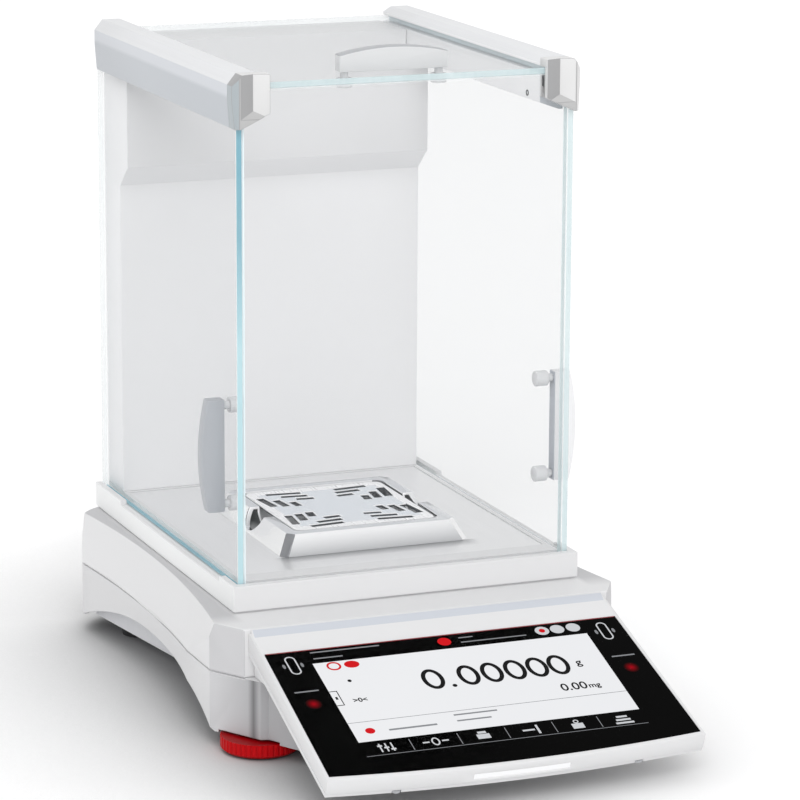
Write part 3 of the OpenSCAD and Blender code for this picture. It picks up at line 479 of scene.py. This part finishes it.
# %% [markdown]
# ## The base
# The base is two white shells with a parting line between them. On the real shells each edge has a small
# radius, and at the parting line the two radii make a fine groove that catches the shadow. Bevelling the
# sharp outer edges of the solids gives both at once. The slanting front corners and the lower front are painted
# a shade darker, painted shade that is deepest along their crease. The top face beside the tray frame is painted
# darker too, painted shade, and the frame's sides lighter, painted light.

# %% Two shells, the tray frame and the socket panel
frame_low, frame_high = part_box("draft_frame")


def frame_outside(middle):
    """True on the outer faces of the tray frame, away from the door grooves."""
    return (abs(middle.x) > frame_high.x - 0.1 * MM or middle.y < frame_low.y + 0.1 * MM
            or middle.y > frame_high.y - 0.1 * MM)


def deck_moulding():
    """The white moulding's top face, with painted shade beside the tray frame at both sides."""
    finish = Finish("deck moulding, painted shade")
    fine = finish.noise(3200, detail=1.0)
    x, y, z = finish.xyz()
    # Painted shade beside the tray frame.
    frame_shade = ((abs(x) - frame_high.x) * 300 + 0.4).clamped() * ((y - frame_low.y) * 60 + 1.0).clamped()
    return finish.feed(Base_Color=finish.mix((frame_shade + (fine - 0.5) * 0.1).clamped(), rgb(220, 220, 221),
                                             rgb(188, 188, 190)),
                       Roughness=0.5 + (fine - 0.5) * 0.16, Normal=finish.bump(fine, 0.1, 0.00012))


def prow_moulding(crease):
    """The lower moulding's front, with painted shade: darker under the display and darkest along the crease in
    each corner.
    """
    finish = Finish("prow moulding, painted shade")
    fine = finish.noise(3200, detail=1.0)
    x, y, z = finish.xyz()
    wall_run, groove_half = 13 * MM, 1.9 * MM
    # Painted shade: darker under the display, darkest along each crease.
    outside = ((abs(x) - crease) / wall_run).clamped()
    groove_shade = (1 - abs(abs(x) - crease) / groove_half).clamped()
    wall_shade = finish.mix((outside + (fine - 0.5) * 0.1).clamped(), rgb(170, 170, 172), rgb(196, 196, 198))
    return finish.feed(Base_Color=finish.mix(groove_shade, wall_shade, rgb(112, 112, 114)),
                       Roughness=0.5 + (fine - 0.5) * 0.16, Normal=finish.bump(fine, 0.1, 0.00012))


lower = nodes["lower_housing"].data
facing = [f for f in lower.polygons if f.normal.y < -0.97 and f.center.y < frame_low.y - 20 * MM]
front_half = max(abs(lower.vertices[v].co.x) for f in facing for v in f.vertices)
crease = front_half + 5.6 * MM
print("creases at", round(crease / MM, 1), "mm from the middle")
deck_painted_shade, prow_painted_shade = deck_moulding(), prow_moulding(crease)
shells = [("upper_housing", white_plastic, 0.8, anywhere), ("lower_housing", lower_plastic, 0.5, anywhere),
          ("draft_frame", frame_plastic, 0.4, frame_outside), ("rear_panel", lower_plastic, 0.3, anywhere),
          ("display_stand", white_plastic, 0.6, anywhere)]
for node, material, radius, wanted in shells:
    skin = eased(skin_of(node, node + "_skin"), radius * MM, wanted)
    done(skin, material, "base", "lower_grey" if material is lower_plastic else "white_plastic", node, smooth=20)
    also(skin, prow_painted_shade if material is lower_plastic else corner_painted_shade,
         deck_painted_shade if node == "upper_housing" else frame_side_painted_light)
    # Painted shade on the corner and front faces and on the top face beside the frame; painted light on the
    # frame's sides.
    for face in skin.data.polygons:
        across, along, up = face.normal
        corner = along < -0.25 and abs(up) < 0.6 and (abs(across) > 0.25 or node == "lower_housing")
        top = node == "upper_housing" and up > 0.9 or node == "draft_frame" and abs(across) > 0.9
        face.material_index = 1 if corner and node != "draft_frame" else 2 if top else 0
    print(skin.name, "faces:", len(skin.data.polygons))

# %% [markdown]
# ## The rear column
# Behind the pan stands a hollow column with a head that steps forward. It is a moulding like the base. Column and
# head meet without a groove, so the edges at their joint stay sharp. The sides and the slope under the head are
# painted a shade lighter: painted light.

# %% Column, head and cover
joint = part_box("column_head")[0].z


def off_joint(middle):
    return abs(middle.z - joint) > 0.1 * MM


for node, radius, material in (("rear_column", 0.5, column_plastic), ("column_head", 0.5, head_plastic),
                               ("rear_column_cover", 0.4, column_plastic)):
    skin = eased(skin_of(node, node + "_skin"), radius * MM, off_joint)
    done(skin, material, "base", "white_plastic", node)
    also(skin, column_side_painted_light, column_plastic)
    # Painted light: the sides, and the slope under the head, take a lighter tone.
    for face in skin.data.polygons:
        face.material_index = 1 if abs(face.normal.x) > 0.7 else 2 if face.normal.z < -0.3 else 0
    print(skin.name, "faces:", len(skin.data.polygons))

# %% [markdown]
# ## Rails and their end caps
# Each side door hangs in a silver rail, and a grey moulding with a V groove closes the rail in front. Their
# edges are crisp, so the bevel is small. Each face of rail and cap is painted its own tone, chosen by where it
# looks: painted light and painted shade, with a painted dark line along the small bevels of the cap.

# %% Rails and caps
for side in ("left", "right"):
    rail = eased(skin_of(side + "_rail", side + "_rail_skin"), 0.3 * MM)
    done(rail, rail_side_light_and_shade, "base", "silver_rail", side + "_rail")
    also(rail, rail_top_painted_light, rail_inside_painted_light)
    inward = 1 if side == "left" else -1
    # Painted light on the upper and inner faces; the sides are painted darker towards the foot.
    for face in rail.data.polygons:
        inner = face.normal.x * inward > 0.5 or face.normal.z < -0.5
        face.material_index = 1 if face.normal.z > 0.3 else 2 if inner else 0
    cap = eased(skin_of(side + "_rail_cap", side + "_rail_cap_skin"), 0.25 * MM)
    done(cap, cap_lip, "base", "grey_plastic", side + "_rail_cap")
    also(cap, cap_painted_light, cap_painted_shade, cap_band_painted_shade)
    # Painted light and shade: each face of the cap gets a lighter or darker tone by where it looks, and the small
    # bevels a painted dark line.
    for face in cap.data.polygons:
        across, along, up = face.normal
        if face.area < 12 * MM * MM and along < -0.5:
            face.material_index = 2
        elif along < -0.8 and abs(across) > 0.15:
            face.material_index = 2 if across > 0 else 1
        elif across < -0.5 and side == "left":
            face.material_index = 2 if up > 0.3 else 3
        elif abs(across) > 0.5 or up > 0.9 or up < -0.3 and side == "right":
            face.material_index = 1
print("rails dressed")

# %% [markdown]
# ## Small hardware on the rails
# Each rail has a socket screw in its inner face, and the end cap has a slot for the stop of the top door. The
# screw is a disc whose face is inset and pushed in. The slot is a bar with its long edges rounded. Both are
# dark, painted shade for the hollows of the socket and the slot.

# %% Rail screws and stop slots
small = bpy.data.objects.new("rail_hardware", bpy.data.meshes.new("rail_hardware"))
bpy.context.collection.objects.link(small)
only(small)
bpy.ops.object.mode_set(mode="EDIT")
for side, turn in (("left", 1), ("right", -1)):
    cap_low, cap_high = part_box(side + "_rail_cap")
    inner = cap_high.x if side == "left" else cap_low.x
    level, screw_level = cap_low.z + 16 * MM, cap_low.z + 7 * MM
    bpy.ops.mesh.select_all(action="DESELECT")
    bpy.ops.mesh.primitive_cylinder_add(vertices=24, radius=1.6 * MM, depth=0.5 * MM,
        rotation=(0, turn * math.pi / 2, 0), location=(inner, cap_high.y + 16 * MM, screw_level))
    bpy.ops.mesh.select_mode(type="FACE")
    shape = bmesh.from_edit_mesh(small.data)
    for face in shape.faces:
        face.select_set(face.normal.x * turn > 0.9 and abs(face.calc_center_median().x - inner) < MM)
    bmesh.update_edit_mesh(small.data)
    bpy.ops.mesh.inset(thickness=0.6 * MM)
    bpy.ops.mesh.extrude_region_move(TRANSFORM_OT_translate={"value": (-turn * 0.3 * MM, 0, 0)})
    bpy.ops.mesh.select_all(action="DESELECT")
    bpy.ops.mesh.primitive_cube_add(size=1, location=(inner, cap_low.y + 6 * MM, level),
                                    scale=(0.3 * MM, 1.3 * MM, 5.6 * MM))
    bpy.ops.mesh.bevel(offset=0.12 * MM, segments=1, affect="EDGES")
bpy.ops.object.mode_set(mode="OBJECT")
done(small, dark_plastic, "base", "dark_plastic")
print("rail hardware faces:", len(small.data.polygons))

# %% [markdown]
# ## Panes
# A pane is a sheet with ground edges. A box of the pane's size is bevelled all round, and each narrow face, found
# by the axis it looks along, gets one of the edge finishes. Clear glass hardly shades what stands behind it, so
# the panes cast no shadow.

# %% Four panes
def pane(node, thin, body, edges):
    low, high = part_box(node)
    bpy.ops.object.select_all(action="DESELECT")
    bpy.ops.mesh.primitive_cube_add(size=1, location=(low + high) / 2, scale=high - low)
    sheet = bpy.context.object
    sheet.name = node + "_sheet"
    bpy.ops.object.transform_apply(location=True, rotation=True, scale=True)
    bpy.ops.object.mode_set(mode="EDIT")
    bpy.ops.mesh.select_all(action="SELECT")
    bpy.ops.mesh.bevel(offset=0.35 * MM, segments=1, affect="EDGES")
    bpy.ops.object.mode_set(mode="OBJECT")
    also(sheet, pane_face, clear_edge, pale_edge, green_edge, white_edge_painted_highlight, door_edge)
    for face in sheet.data.polygons:
        way = max(range(3), key=lambda axis: abs(face.normal[axis]))
        end = ("-" if face.normal[way] < 0 else "+") + "xyz"[way]
        face.material_index = 0 if abs(face.normal[thin]) > 0.99 else edges.get(end, 1)
    sheet.visible_shadow = False
    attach(sheet, body)
    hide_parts(node)


for node, thin, body, edges in (("front_glass", 1, "base", {"-x": 4, "+x": 2, "-z": 2}),
                                ("left_door_glass", 0, "left_door", {"-y": 5, "-z": 3}),
                                ("right_door_glass", 0, "right_door", {"-y": 2}),
                                ("top_door_glass", 2, "top_door", {"-y": 2, "-x": 4, "+x": 4})):
    pane(node, thin, body, edges)
print("panes cut")

# %% [markdown]
# ## Door handles
# A handle is a D-shaped fin with eased edges, held through the glass by two clear pins with round heads. The
# left handle is painted a shade darker, and so are the inner face of the right one and the top of the top one:
# painted shade.

# %% Fins and pins
for side, material in (("left", handle_painted_shade), ("right", light_handle), ("top", top_grip)):
    fin = eased(skin_of(side + "_door_handle", side + "_handle_fin"), 0.45 * MM)
    done(fin, material, side + "_door", "handle_grey", side + "_door_handle")
    also(fin, grey_band_painted_shade if side == "right" else glide_grey_and_painted_shade)
    # Painted shade on the inner face of the right handle and on the top of the top handle.
    for face in fin.data.polygons:
        turned = face.normal.x < -0.9 if side == "right" else face.normal.z > 0.3 and side == "top"
        face.material_index = 1 if turned else 0
    pins = eased(skin_of(side + "_handle_caps", side + "_handle_pins"), 0.6 * MM, segments=3)
    done(pins, pale_plastic, side + "_door", "pale_plastic", side + "_handle_caps")
print("handles dressed")

# %% [markdown]
# ## The pan and its surround
# The pan is stamped sheet, so the edges of its slots are only just broken. Their bevels are painted bright, a
# painted highlight, and their walls dark, painted shade. The surround is pressed metal with clear bends that
# mirror the room; its sides are painted lighter and its corners darker, and its front darker towards the foot:
# painted light and shade.

# %% Pan and surround
pan = eased(skin_of("weighing_pan", "pan_plate"), 0.4 * MM, segments=1)
done(pan, pan_steel, "pan", "bright_steel", "weighing_pan")
also(pan, slot_edges_painted_highlight, pan_walls_painted_shade)
# Painted highlight on the slot bevels, painted shade on the slot walls.
for face in pan.data.polygons:
    face.material_index = 0 if face.normal.z > 0.9 else 1 if face.normal.z > 0.3 else 2
surround = eased(skin_of("pan_surround", "pan_surround_skin"), 0.3 * MM)
done(surround, bright_steel, "base", "floor_steel", "pan_surround")
also(surround, side_bend_painted_light, corner_bend_painted_shade, front_bend_light_and_shade)
# Painted light on the sides, painted shade on the corners, and the front painted darker towards the foot.
for face in surround.data.polygons:
    across, along, up = face.normal
    if across * along > 0.1 and along < 0:
        face.material_index = 2
    elif abs(across) > 0.4:
        face.material_index = 1
    elif along < -0.4:
        face.material_index = 3
print("pan faces:", len(pan.data.polygons), "surround faces:", len(surround.data.polygons))

# %% [markdown]
# ## The display's case
# The case is two thin shells. Its visible edges have a soft radius, and the band behind the glass is painted
# greyer, painted shade.

# %% Front and back shell
glass_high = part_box("touch_glass")[1]
band_area = 100 * MM * MM
for node, radius in (("display_bezel", 0.7), ("display_back", 0.5)):
    skin = eased(skin_of(node, node + "_skin"), radius * MM)
    done(skin, white_plastic, "base", "white_plastic", node)
    also(skin, grey_band_painted_shade)
    # Painted shade on the band behind the glass.
    for face in skin.data.polygons:
        behind = face.center.y > glass_high.y
        face.material_index = 1 if behind and face.normal.z > 0.5 and face.area > band_area else 0
print("case dressed")

# %% [markdown]
# ## Drawing on the slope
# The picture is drawn flat, in millimetres: x from the middle, and u down from the upper edge of the glass.
# One matrix then lays it on the tilted glass. It is read from the glass itself, whose highest corner is that
# upper edge.

# %% The slope
tilt = math.radians(18.8)
sheet_thick = 1.5 * MM
slope = Matrix.Translation((0, glass_high.y - sheet_thick * math.sin(tilt), glass_high.z))
slope = slope @ Matrix.Rotation(tilt, 4, "X")
print("upper edge of the glass in mm:", [round(v / MM, 1) for v in slope.translation])


def blank(name):
    """An empty drawing, left in edit mode, so that marks can be added to it."""
    bpy.ops.object.select_all(action="DESELECT")
    piece = bpy.data.objects.new(name, bpy.data.meshes.new(name))
    bpy.context.collection.objects.link(piece)
    only(piece)
    bpy.ops.object.mode_set(mode="EDIT")
    return piece


ON_PAGE, ON_GLASS = 0.12, 0.03


def bar(x0, x1, u0, u1, z=ON_PAGE, high=0.06):
    middle = Vector(((x0 + x1) / 2, -(u0 + u1) / 2, z + high / 2)) * MM
    bpy.ops.mesh.primitive_cube_add(size=1, location=middle,
                                    scale=((x1 - x0) * MM, (u1 - u0) * MM, high * MM))


def disc(x, u, rx, ru, hole=0.0, z=ON_PAGE, high=0.06, sides=40, straight=0.0):
    """A round plate, or a ring where a hole's wall is given, raised by extrusion; straight draws it long."""
    spot = Vector((x, -u, z)) * MM
    bpy.ops.mesh.select_all(action="DESELECT")
    bpy.ops.mesh.primitive_circle_add(vertices=sides, radius=rx * MM, fill_type="NGON", location=spot)
    bpy.ops.transform.resize(value=(1, ru / rx, 1), center_override=spot)
    if straight:
        flat = bmesh.from_edit_mesh(bpy.context.object.data)
        for corner in flat.verts:
            if corner.select:
                corner.co.y += math.copysign(straight * MM, corner.co.y - spot.y)
        bmesh.update_edit_mesh(bpy.context.object.data)
    bpy.ops.mesh.select_mode(type="FACE")
    if hole:
        bpy.ops.mesh.inset(thickness=hole * MM)
        bpy.ops.mesh.delete(type="FACE")
        flat = bmesh.from_edit_mesh(bpy.context.object.data)
        for face in flat.faces:
            off = face.calc_center_median() - spot
            face.select_set(abs(off.x) <= rx * MM and abs(off.y) <= (ru + straight) * MM and abs(off.z) < 1e-7)
        bmesh.update_edit_mesh(bpy.context.object.data)
    bpy.ops.mesh.extrude_region_move(TRANSFORM_OT_translate={"value": (0, 0, high * MM)})


def laid(piece, material):
    """Closes a drawing and lays it on the slope."""
    bpy.ops.mesh.select_all(action="SELECT")
    bpy.ops.mesh.normals_make_consistent(inside=False)
    bpy.ops.object.mode_set(mode="OBJECT")
    only(piece)
    piece.matrix_world = slope
    bpy.ops.object.transform_apply(location=True, rotation=True, scale=True)
    piece.data.materials.append(material)
    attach(piece, "base")
    print(piece.name, "faces:", len(piece.data.polygons))


# %% [markdown]
# ## The touch glass
# The glass is black printed, with a thin red line along its upper edge. The top face of a copy is inset by the
# width of the line, and the rim face that lies at that edge turns red.

# %% Touch glass
touch = skin_of("touch_glass", "touch_plate")
only(touch)
bpy.ops.object.mode_set(mode="EDIT")
bpy.ops.mesh.select_mode(type="FACE")
bpy.ops.mesh.select_all(action="DESELECT")
shape = bmesh.from_edit_mesh(touch.data)
upward = Vector((0, -math.sin(tilt), math.cos(tilt)))
for face in shape.faces:
    face.select_set(face.normal.dot(upward) > 0.99)
bmesh.update_edit_mesh(touch.data)
bpy.ops.mesh.inset(thickness=0.7 * MM)
bpy.ops.object.mode_set(mode="OBJECT")
done(touch, black_glass, "base", "black_glass", "touch_glass")
also(touch, edge_red)
back = slope.inverted()
for face in touch.data.polygons:
    spot = back @ face.center
    rim = face.normal.dot(upward) > 0.99 and len(face.vertices) == 4 and face.area < 4e-4
    face.material_index = 1 if rim and spot.y > -0.6 * MM else 0
print("touch glass faces:", len(touch.data.polygons))

# %% [markdown]
# ## The lit page
# The page is a pale plate. The row of six keys below it stays black, with thin grey lines between the keys. All
# the marks of one colour go into one drawing.

# %% Page
page = blank("screen_page")
bar(-77, 77, 12.5, 81.5, 0.02, 0.05)
laid(page, screen_white)

# %% [markdown]
# ## The reading
# The large reading is a row of zeros, each a tall ring, and a point. The unit and the small second reading are
# set in Blender's own plain letters and turned into meshes before they are laid on the glass.

# %% Digits
digits = blank("screen_digits")
for x in (-19.8, -0.1, 13.0, 25.9, 38.4, 50.4):
    disc(x, 36.8, 5.9, 8.7, hole=2.35, z=0.09)
disc(-10.5, 44.2, 1.3, 1.3, z=0.09, sides=20)
laid(digits, screen_black)


def letters(name, words, x, u, high, material):
    bpy.ops.object.select_all(action="DESELECT")
    bpy.ops.object.text_add()
    text = bpy.context.object
    text.name = name
    text.data.body, text.data.size, text.data.extrude = words, high * MM / 0.72, 0.03 * MM
    text.data.offset = 0.1 * MM
    bpy.ops.object.convert(target="MESH")
    text = bpy.context.object
    text.matrix_world = slope @ Matrix.Translation((x * MM, -u * MM, 0.12 * MM))
    bpy.ops.object.transform_apply(location=True, rotation=True, scale=True)
    text.data.materials.clear()
    text.data.materials.append(material)
    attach(text, "base")
    print(name, "faces:", len(text.data.polygons))


letters("screen_unit", "g", 60.2, 38.9, 5.4, screen_black)
letters("screen_second", "0.00", 43.6, 59.2, 6.2, screen_black)
letters("screen_second_unit", "mg", 58.8, 59.0, 4.0, screen_black)
letters("screen_zero_sign", ">0<", -67.4, 48.6, 3.4, screen_black)

# %% [markdown]
# ## Bars and pictograms
# Names and captions are left out: a bar stands for each. The keys get plain signs: sliders, a zero, a sheet, an
# arrow, a weight and a stack.

# %% Dark marks on the page
marks = blank("screen_marks")
disc(-63.2, 30.3, 1.1, 1.1, sides=20)
for u in (37.5, 49.6):
    bar(-77, -72.8, u, u + 0.5)
bar(-73.3, -72.8, 37.5, 50)
bar(-75.6, -74.4, 42.6, 44.8)
laid(marks, screen_black)

# %% Grey marks on the page and on the dark bands
lamp_x, sign_x = 88.2, 87.5
greys = blank("screen_grey_marks")
bar(-77, 77, 65.2, 65.5)
bar(-20.8, 3, 68.0, 69.1)
bar(-20.8, -2, 73.0, 74.1)
bar(-58, -32, 73.6, 74.9)
bar(-77, 77, 93.3, 93.6, ON_GLASS)
bar(-75, -37, 2.6, 3.5, ON_GLASS)
bar(-75, -59, 8.0, 8.9, ON_GLASS)
bar(7, 15, 3.8, 4.6, ON_GLASS)
bar(7, 44, 7.8, 8.6, ON_GLASS)
for x in (-51, -25, 1, 27, 52):
    bar(x - 0.2, x + 0.2, 83.4, 92.4, ON_GLASS)
for s in (-1, 1):
    bar(s * lamp_x - 6.5, s * lamp_x + 6.5, 34.6, 35.6, ON_GLASS)
    for x in (-4.9, 4.9):
        disc(s * sign_x + x, 12.4, 0.8, 1.9, z=ON_GLASS, sides=20)
laid(greys, screen_grey)

# %% White and red signs
signs = blank("screen_white_signs")
for x in (53.9, 62.6, 71.7):
    disc(x, 6.1, 3.9, 3.7, z=ON_GLASS)
for x in (-sign_x, sign_x):
    disc(x, 12.2, 2.9, 2.9, hole=0.75, z=ON_GLASS, sides=41, straight=4.9)
for k in range(3):
    bar(-68 + k * 3.2, -67.2 + k * 3.2, 84.4, 91.2, ON_GLASS)
    bar(-68.9 + k * 3.2, -66.3 + k * 3.2, 85.6 + 1.7 * k, 86.8 + 1.7 * k, ON_GLASS)
disc(-38, 87.8, 2.2, 3.2, hole=0.8, z=ON_GLASS)
bar(-45, -41.4, 87.3, 88.3, ON_GLASS)
bar(-34.6, -31, 87.3, 88.3, ON_GLASS)
bar(-15.6, -8.6, 86.4, 90.2, ON_GLASS)
bar(-14.4, -9.8, 84.2, 85.9, ON_GLASS)
bar(9.4, 16, 87.2, 88.4, ON_GLASS)
bar(17.2, 18.4, 84.2, 91.4, ON_GLASS)
disc(39.6, 85.4, 1.5, 1.5, hole=0.6, z=ON_GLASS, sides=20)
bar(36.4, 42.8, 87, 91.2, ON_GLASS)
for k in range(3):
    bar(60 + k, 70 - k, 90.4 - 2.6 * k, 91.8 - 2.6 * k, ON_GLASS)
laid(signs, screen_pale)

reds = blank("screen_red_signs")
disc(-1.6, 6.1, 3.7, 3.4, z=ON_GLASS)
disc(53.9, 6.1, 1.7, 1.7, z=0.1, sides=20)
disc(-66.8, 16.6, 3.9, 3.6, hole=1.1)
disc(-57, 16.6, 4.1, 3.0)
disc(-67.8, 73.2, 2.6, 2.4)
laid(reds, screen_red)

# %% [markdown]
# ## Sensor lamps and light bar
# Two red lamps glow behind the black glass, one on each side. A disc on the glass carries the glow: bright in
# the middle and fading to black. The light bar in the front edge is a frosted guide.

# %% Glow of the lamps
lamp_u, lamp_radius = 46, 4.4


def glow():
    finish = Finish("lamp glow", Base_Color=(0.004, 0.004, 0.004, 1), Roughness=0.16, Specular_IOR_Level=0.0)
    spot = slope @ Vector((lamp_x * MM, -lamp_u * MM, 0))
    x, y, z = finish.xyz()
    across, along = abs(x) - spot.x, y - spot.y
    near = 1 - (across * across + along * along) ** 0.5 / (lamp_radius * MM)
    finish.shader.inputs["Emission Strength"].default_value = 0.9
    return finish.feed(Emission_Color=finish.mix(near.clamped() ** 1.6, (0.004, 0.001, 0.001, 1),
                                                 rgb(176, 0, 22)))


lamp_red = glow()
lamps = blank("sensor_glow")
for s in (-1, 1):
    disc(s * lamp_x, lamp_u, lamp_radius, lamp_radius, z=0.02, high=0.04)
laid(lamps, lamp_red)

# %% [markdown]
# ## Inside the sockets
# At the back, each socket has its contacts: a tongue in the two small ones, nine pins in the wide one, and a row
# of spring wires in the square one. They are small bars and pins set on the floor of each socket.

# %% Contacts
serial_low, serial_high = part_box("serial_port")
net_low, net_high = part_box("network_port")
usb_low, usb_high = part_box("usb_ports")
height = (serial_low.z + serial_high.z) / 2
serial_x, net_x = (serial_low.x + serial_high.x) / 2, (net_low.x + net_high.x) / 2
usb_half, socket_deep = 6.5 * MM, 9.5 * MM
usb_x = [usb_low.x + usb_half, usb_high.x - usb_half]
floor_y = serial_high.y - socket_deep
pin_pitch, wire_pitch = 2.76 * MM, 1.02 * MM

pins = blank("socket_pins")
for row, count in ((1.4, 5), (-1.4, 4)):
    for k in range(count):
        bpy.ops.mesh.select_all(action="DESELECT")
        x = serial_x + (k - (count - 1) / 2) * pin_pitch
        bpy.ops.mesh.primitive_cylinder_add(vertices=16, radius=0.5 * MM, depth=6 * MM,
                                            rotation=(math.pi / 2, 0, 0),
                                            location=(x, floor_y + 3 * MM, height + row * MM))
for k in range(8):
    x = net_x + (k - 3.5) * wire_pitch
    bpy.ops.mesh.primitive_cube_add(size=1, location=(x, floor_y + 3 * MM, height + 2.4 * MM),
                                    scale=(0.45 * MM, 6 * MM, 0.4 * MM))
bpy.ops.mesh.select_all(action="SELECT")
bpy.ops.mesh.bevel(offset=0.1 * MM, segments=1, affect="EDGES")
bpy.ops.object.mode_set(mode="OBJECT")
done(pins, bright_steel, "base", "port_metal")

tongues = blank("socket_tongues")
for x in usb_x:
    bpy.ops.mesh.primitive_cube_add(size=1, location=(x, floor_y + 3.4 * MM, height + 0.7 * MM),
                                    scale=(9.6 * MM, 6.8 * MM, 1.3 * MM))
bpy.ops.mesh.primitive_cube_add(size=1, location=(serial_x, floor_y + 0.9 * MM, height),
                                scale=(16.6 * MM, 1.8 * MM, 7.6 * MM))
bpy.ops.mesh.select_all(action="SELECT")
bpy.ops.mesh.bevel(offset=0.2 * MM, segments=1, affect="EDGES")
bpy.ops.object.mode_set(mode="OBJECT")
done(tongues, dark_plastic, "base", "dark_plastic")
print("contacts set")

# %% [markdown]
# ## Finishes for the solids that stay
# Screws, feet, the weigh cell and the boards keep their solids and only take a finish.

# %% Remaining solids
# Painted shade: the pan support is painted dark and the display screws grey, for the shade under the pan and under
# the display.
finishes = {"base_chassis": cast_metal, "weigh_below_plug": dark_plastic, "rear_feet": rubber,
            "base_screws": screw_steel, "left_foot_wheel": red_plastic, "right_foot_wheel": red_plastic,
            "left_foot_stud": screw_steel, "right_foot_stud": screw_steel, "left_foot_pad": rubber,
            "right_foot_pad": rubber, "weigh_cell": milled_metal, "cell_magnet": magnet_metal,
            "pan_spigot": bright_steel, "cal_weight": bright_steel, "cal_motor": dark_plastic,
            "main_board": board_green, "board_screws": screw_steel, "power_jack": dark_plastic,
            "serial_port": port_metal, "usb_ports": port_metal, "network_port": port_metal,
            "floor_plate": floor_steel, "column_screws": screw_steel, "left_door_glides": glide_grey_and_painted_shade,
            "right_door_glides": light_handle, "pan_support": pan_support_painted_shade, "lcd_panel": screen_pale,
            "display_board": board_green, "status_light": light_bar, "ir_lamps": lamp_red,
            "display_screws": glide_grey_and_painted_shade}
for node, material in finishes.items():
    nodes[node].data.materials.clear()
    nodes[node].data.materials.append(material)
bare = [n for n, o in nodes.items() if n not in finishes and not o.hide_render]
print("solids with a finish:", len(finishes), "left bare:", bare)

# %% [markdown]
# ## Floor, sky and lamp
# The balance stands on a white table under soft light from the left. The floor and the sky are white to the
# camera and in reflections, through the light path. The shadow round the foot of the balance is deep and soft, so
# the table is painted darker where the balance stands close over it, more to the left: a painted shadow.

# %% Floor and sky
def seen_directly(start):
    """One for rays of the camera, in mirrors and through glass, and nought for light that bounces."""
    path = start.add("LightPath").socket.node
    camera_ray, glossy, through = [Value(start.tree, path.outputs[n]) for n in
                                   ("Is Camera Ray", "Is Glossy Ray", "Is Transmission Ray")]
    return (camera_ray + glossy + through).clamped()


bpy.ops.object.select_all(action="DESELECT")
bpy.ops.mesh.primitive_grid_add(x_subdivisions=8, y_subdivisions=8, size=60, location=(0, 10, 0))
table = bpy.context.object
table.name = "table"
bpy.ops.object.transform_apply(location=True, rotation=True, scale=True)
table_white, table_shade = (0.97, 0.97, 0.972, 1), (0.16, 0.16, 0.165, 1)
table_finish = Finish("white table", Base_Color=table_white, Roughness=0.9, Specular_IOR_Level=0.0)
seen = seen_directly(table_finish.place)
near = table_finish.place.add("AmbientOcclusion", {"samples": 16}, {"Distance": 0.22}, out=1)
# Painted shadow: the darkening leans to the left.
painted_shadow_lean = (0.72 - table_finish.xyz()[0] * 2.8).clamped()
shade = ((1 - near) ** 0.75 * painted_shadow_lean * seen).clamped()
table_finish.feed(Base_Color=table_finish.mix(shade, table_white, table_shade))
own = table_finish.place.add("Emission", None, {"Color": (1, 1, 1, 1), "Strength": seen * (1 - shade) * 0.08})
diffuse = Value(table_finish.tree, table_finish.shader.outputs[0])
whole = table_finish.place.add("AddShader", None, {0: diffuse, 1: own})
table_finish.tree.links.new(whole.socket, table_finish.output.inputs["Surface"])
table.data.materials.append(table_finish.material)

sky = bpy.data.worlds.new("sky")
bpy.context.scene.world = sky
sky.use_nodes = True
ground = sky.node_tree.nodes["Background"]
seen = seen_directly(Value(sky.node_tree, ground.outputs[0]))
sky.node_tree.links.new((0.84 + seen * 0.16).socket, ground.inputs["Strength"])
ground.inputs["Color"].default_value = (1, 1, 1, 1)
print("table and sky ready")

# %% Lamp
sun = bpy.data.lights.new("soft lamp", "SUN")
sun.energy, sun.angle = 1.05, math.radians(40)
lamp = bpy.data.objects.new("soft lamp", sun)
bpy.context.collection.objects.link(lamp)
towards = Vector((-0.30, -0.72, 0.62))
lamp.rotation_euler = towards.to_track_quat("Z", "Y").to_euler()
print("lamp set")
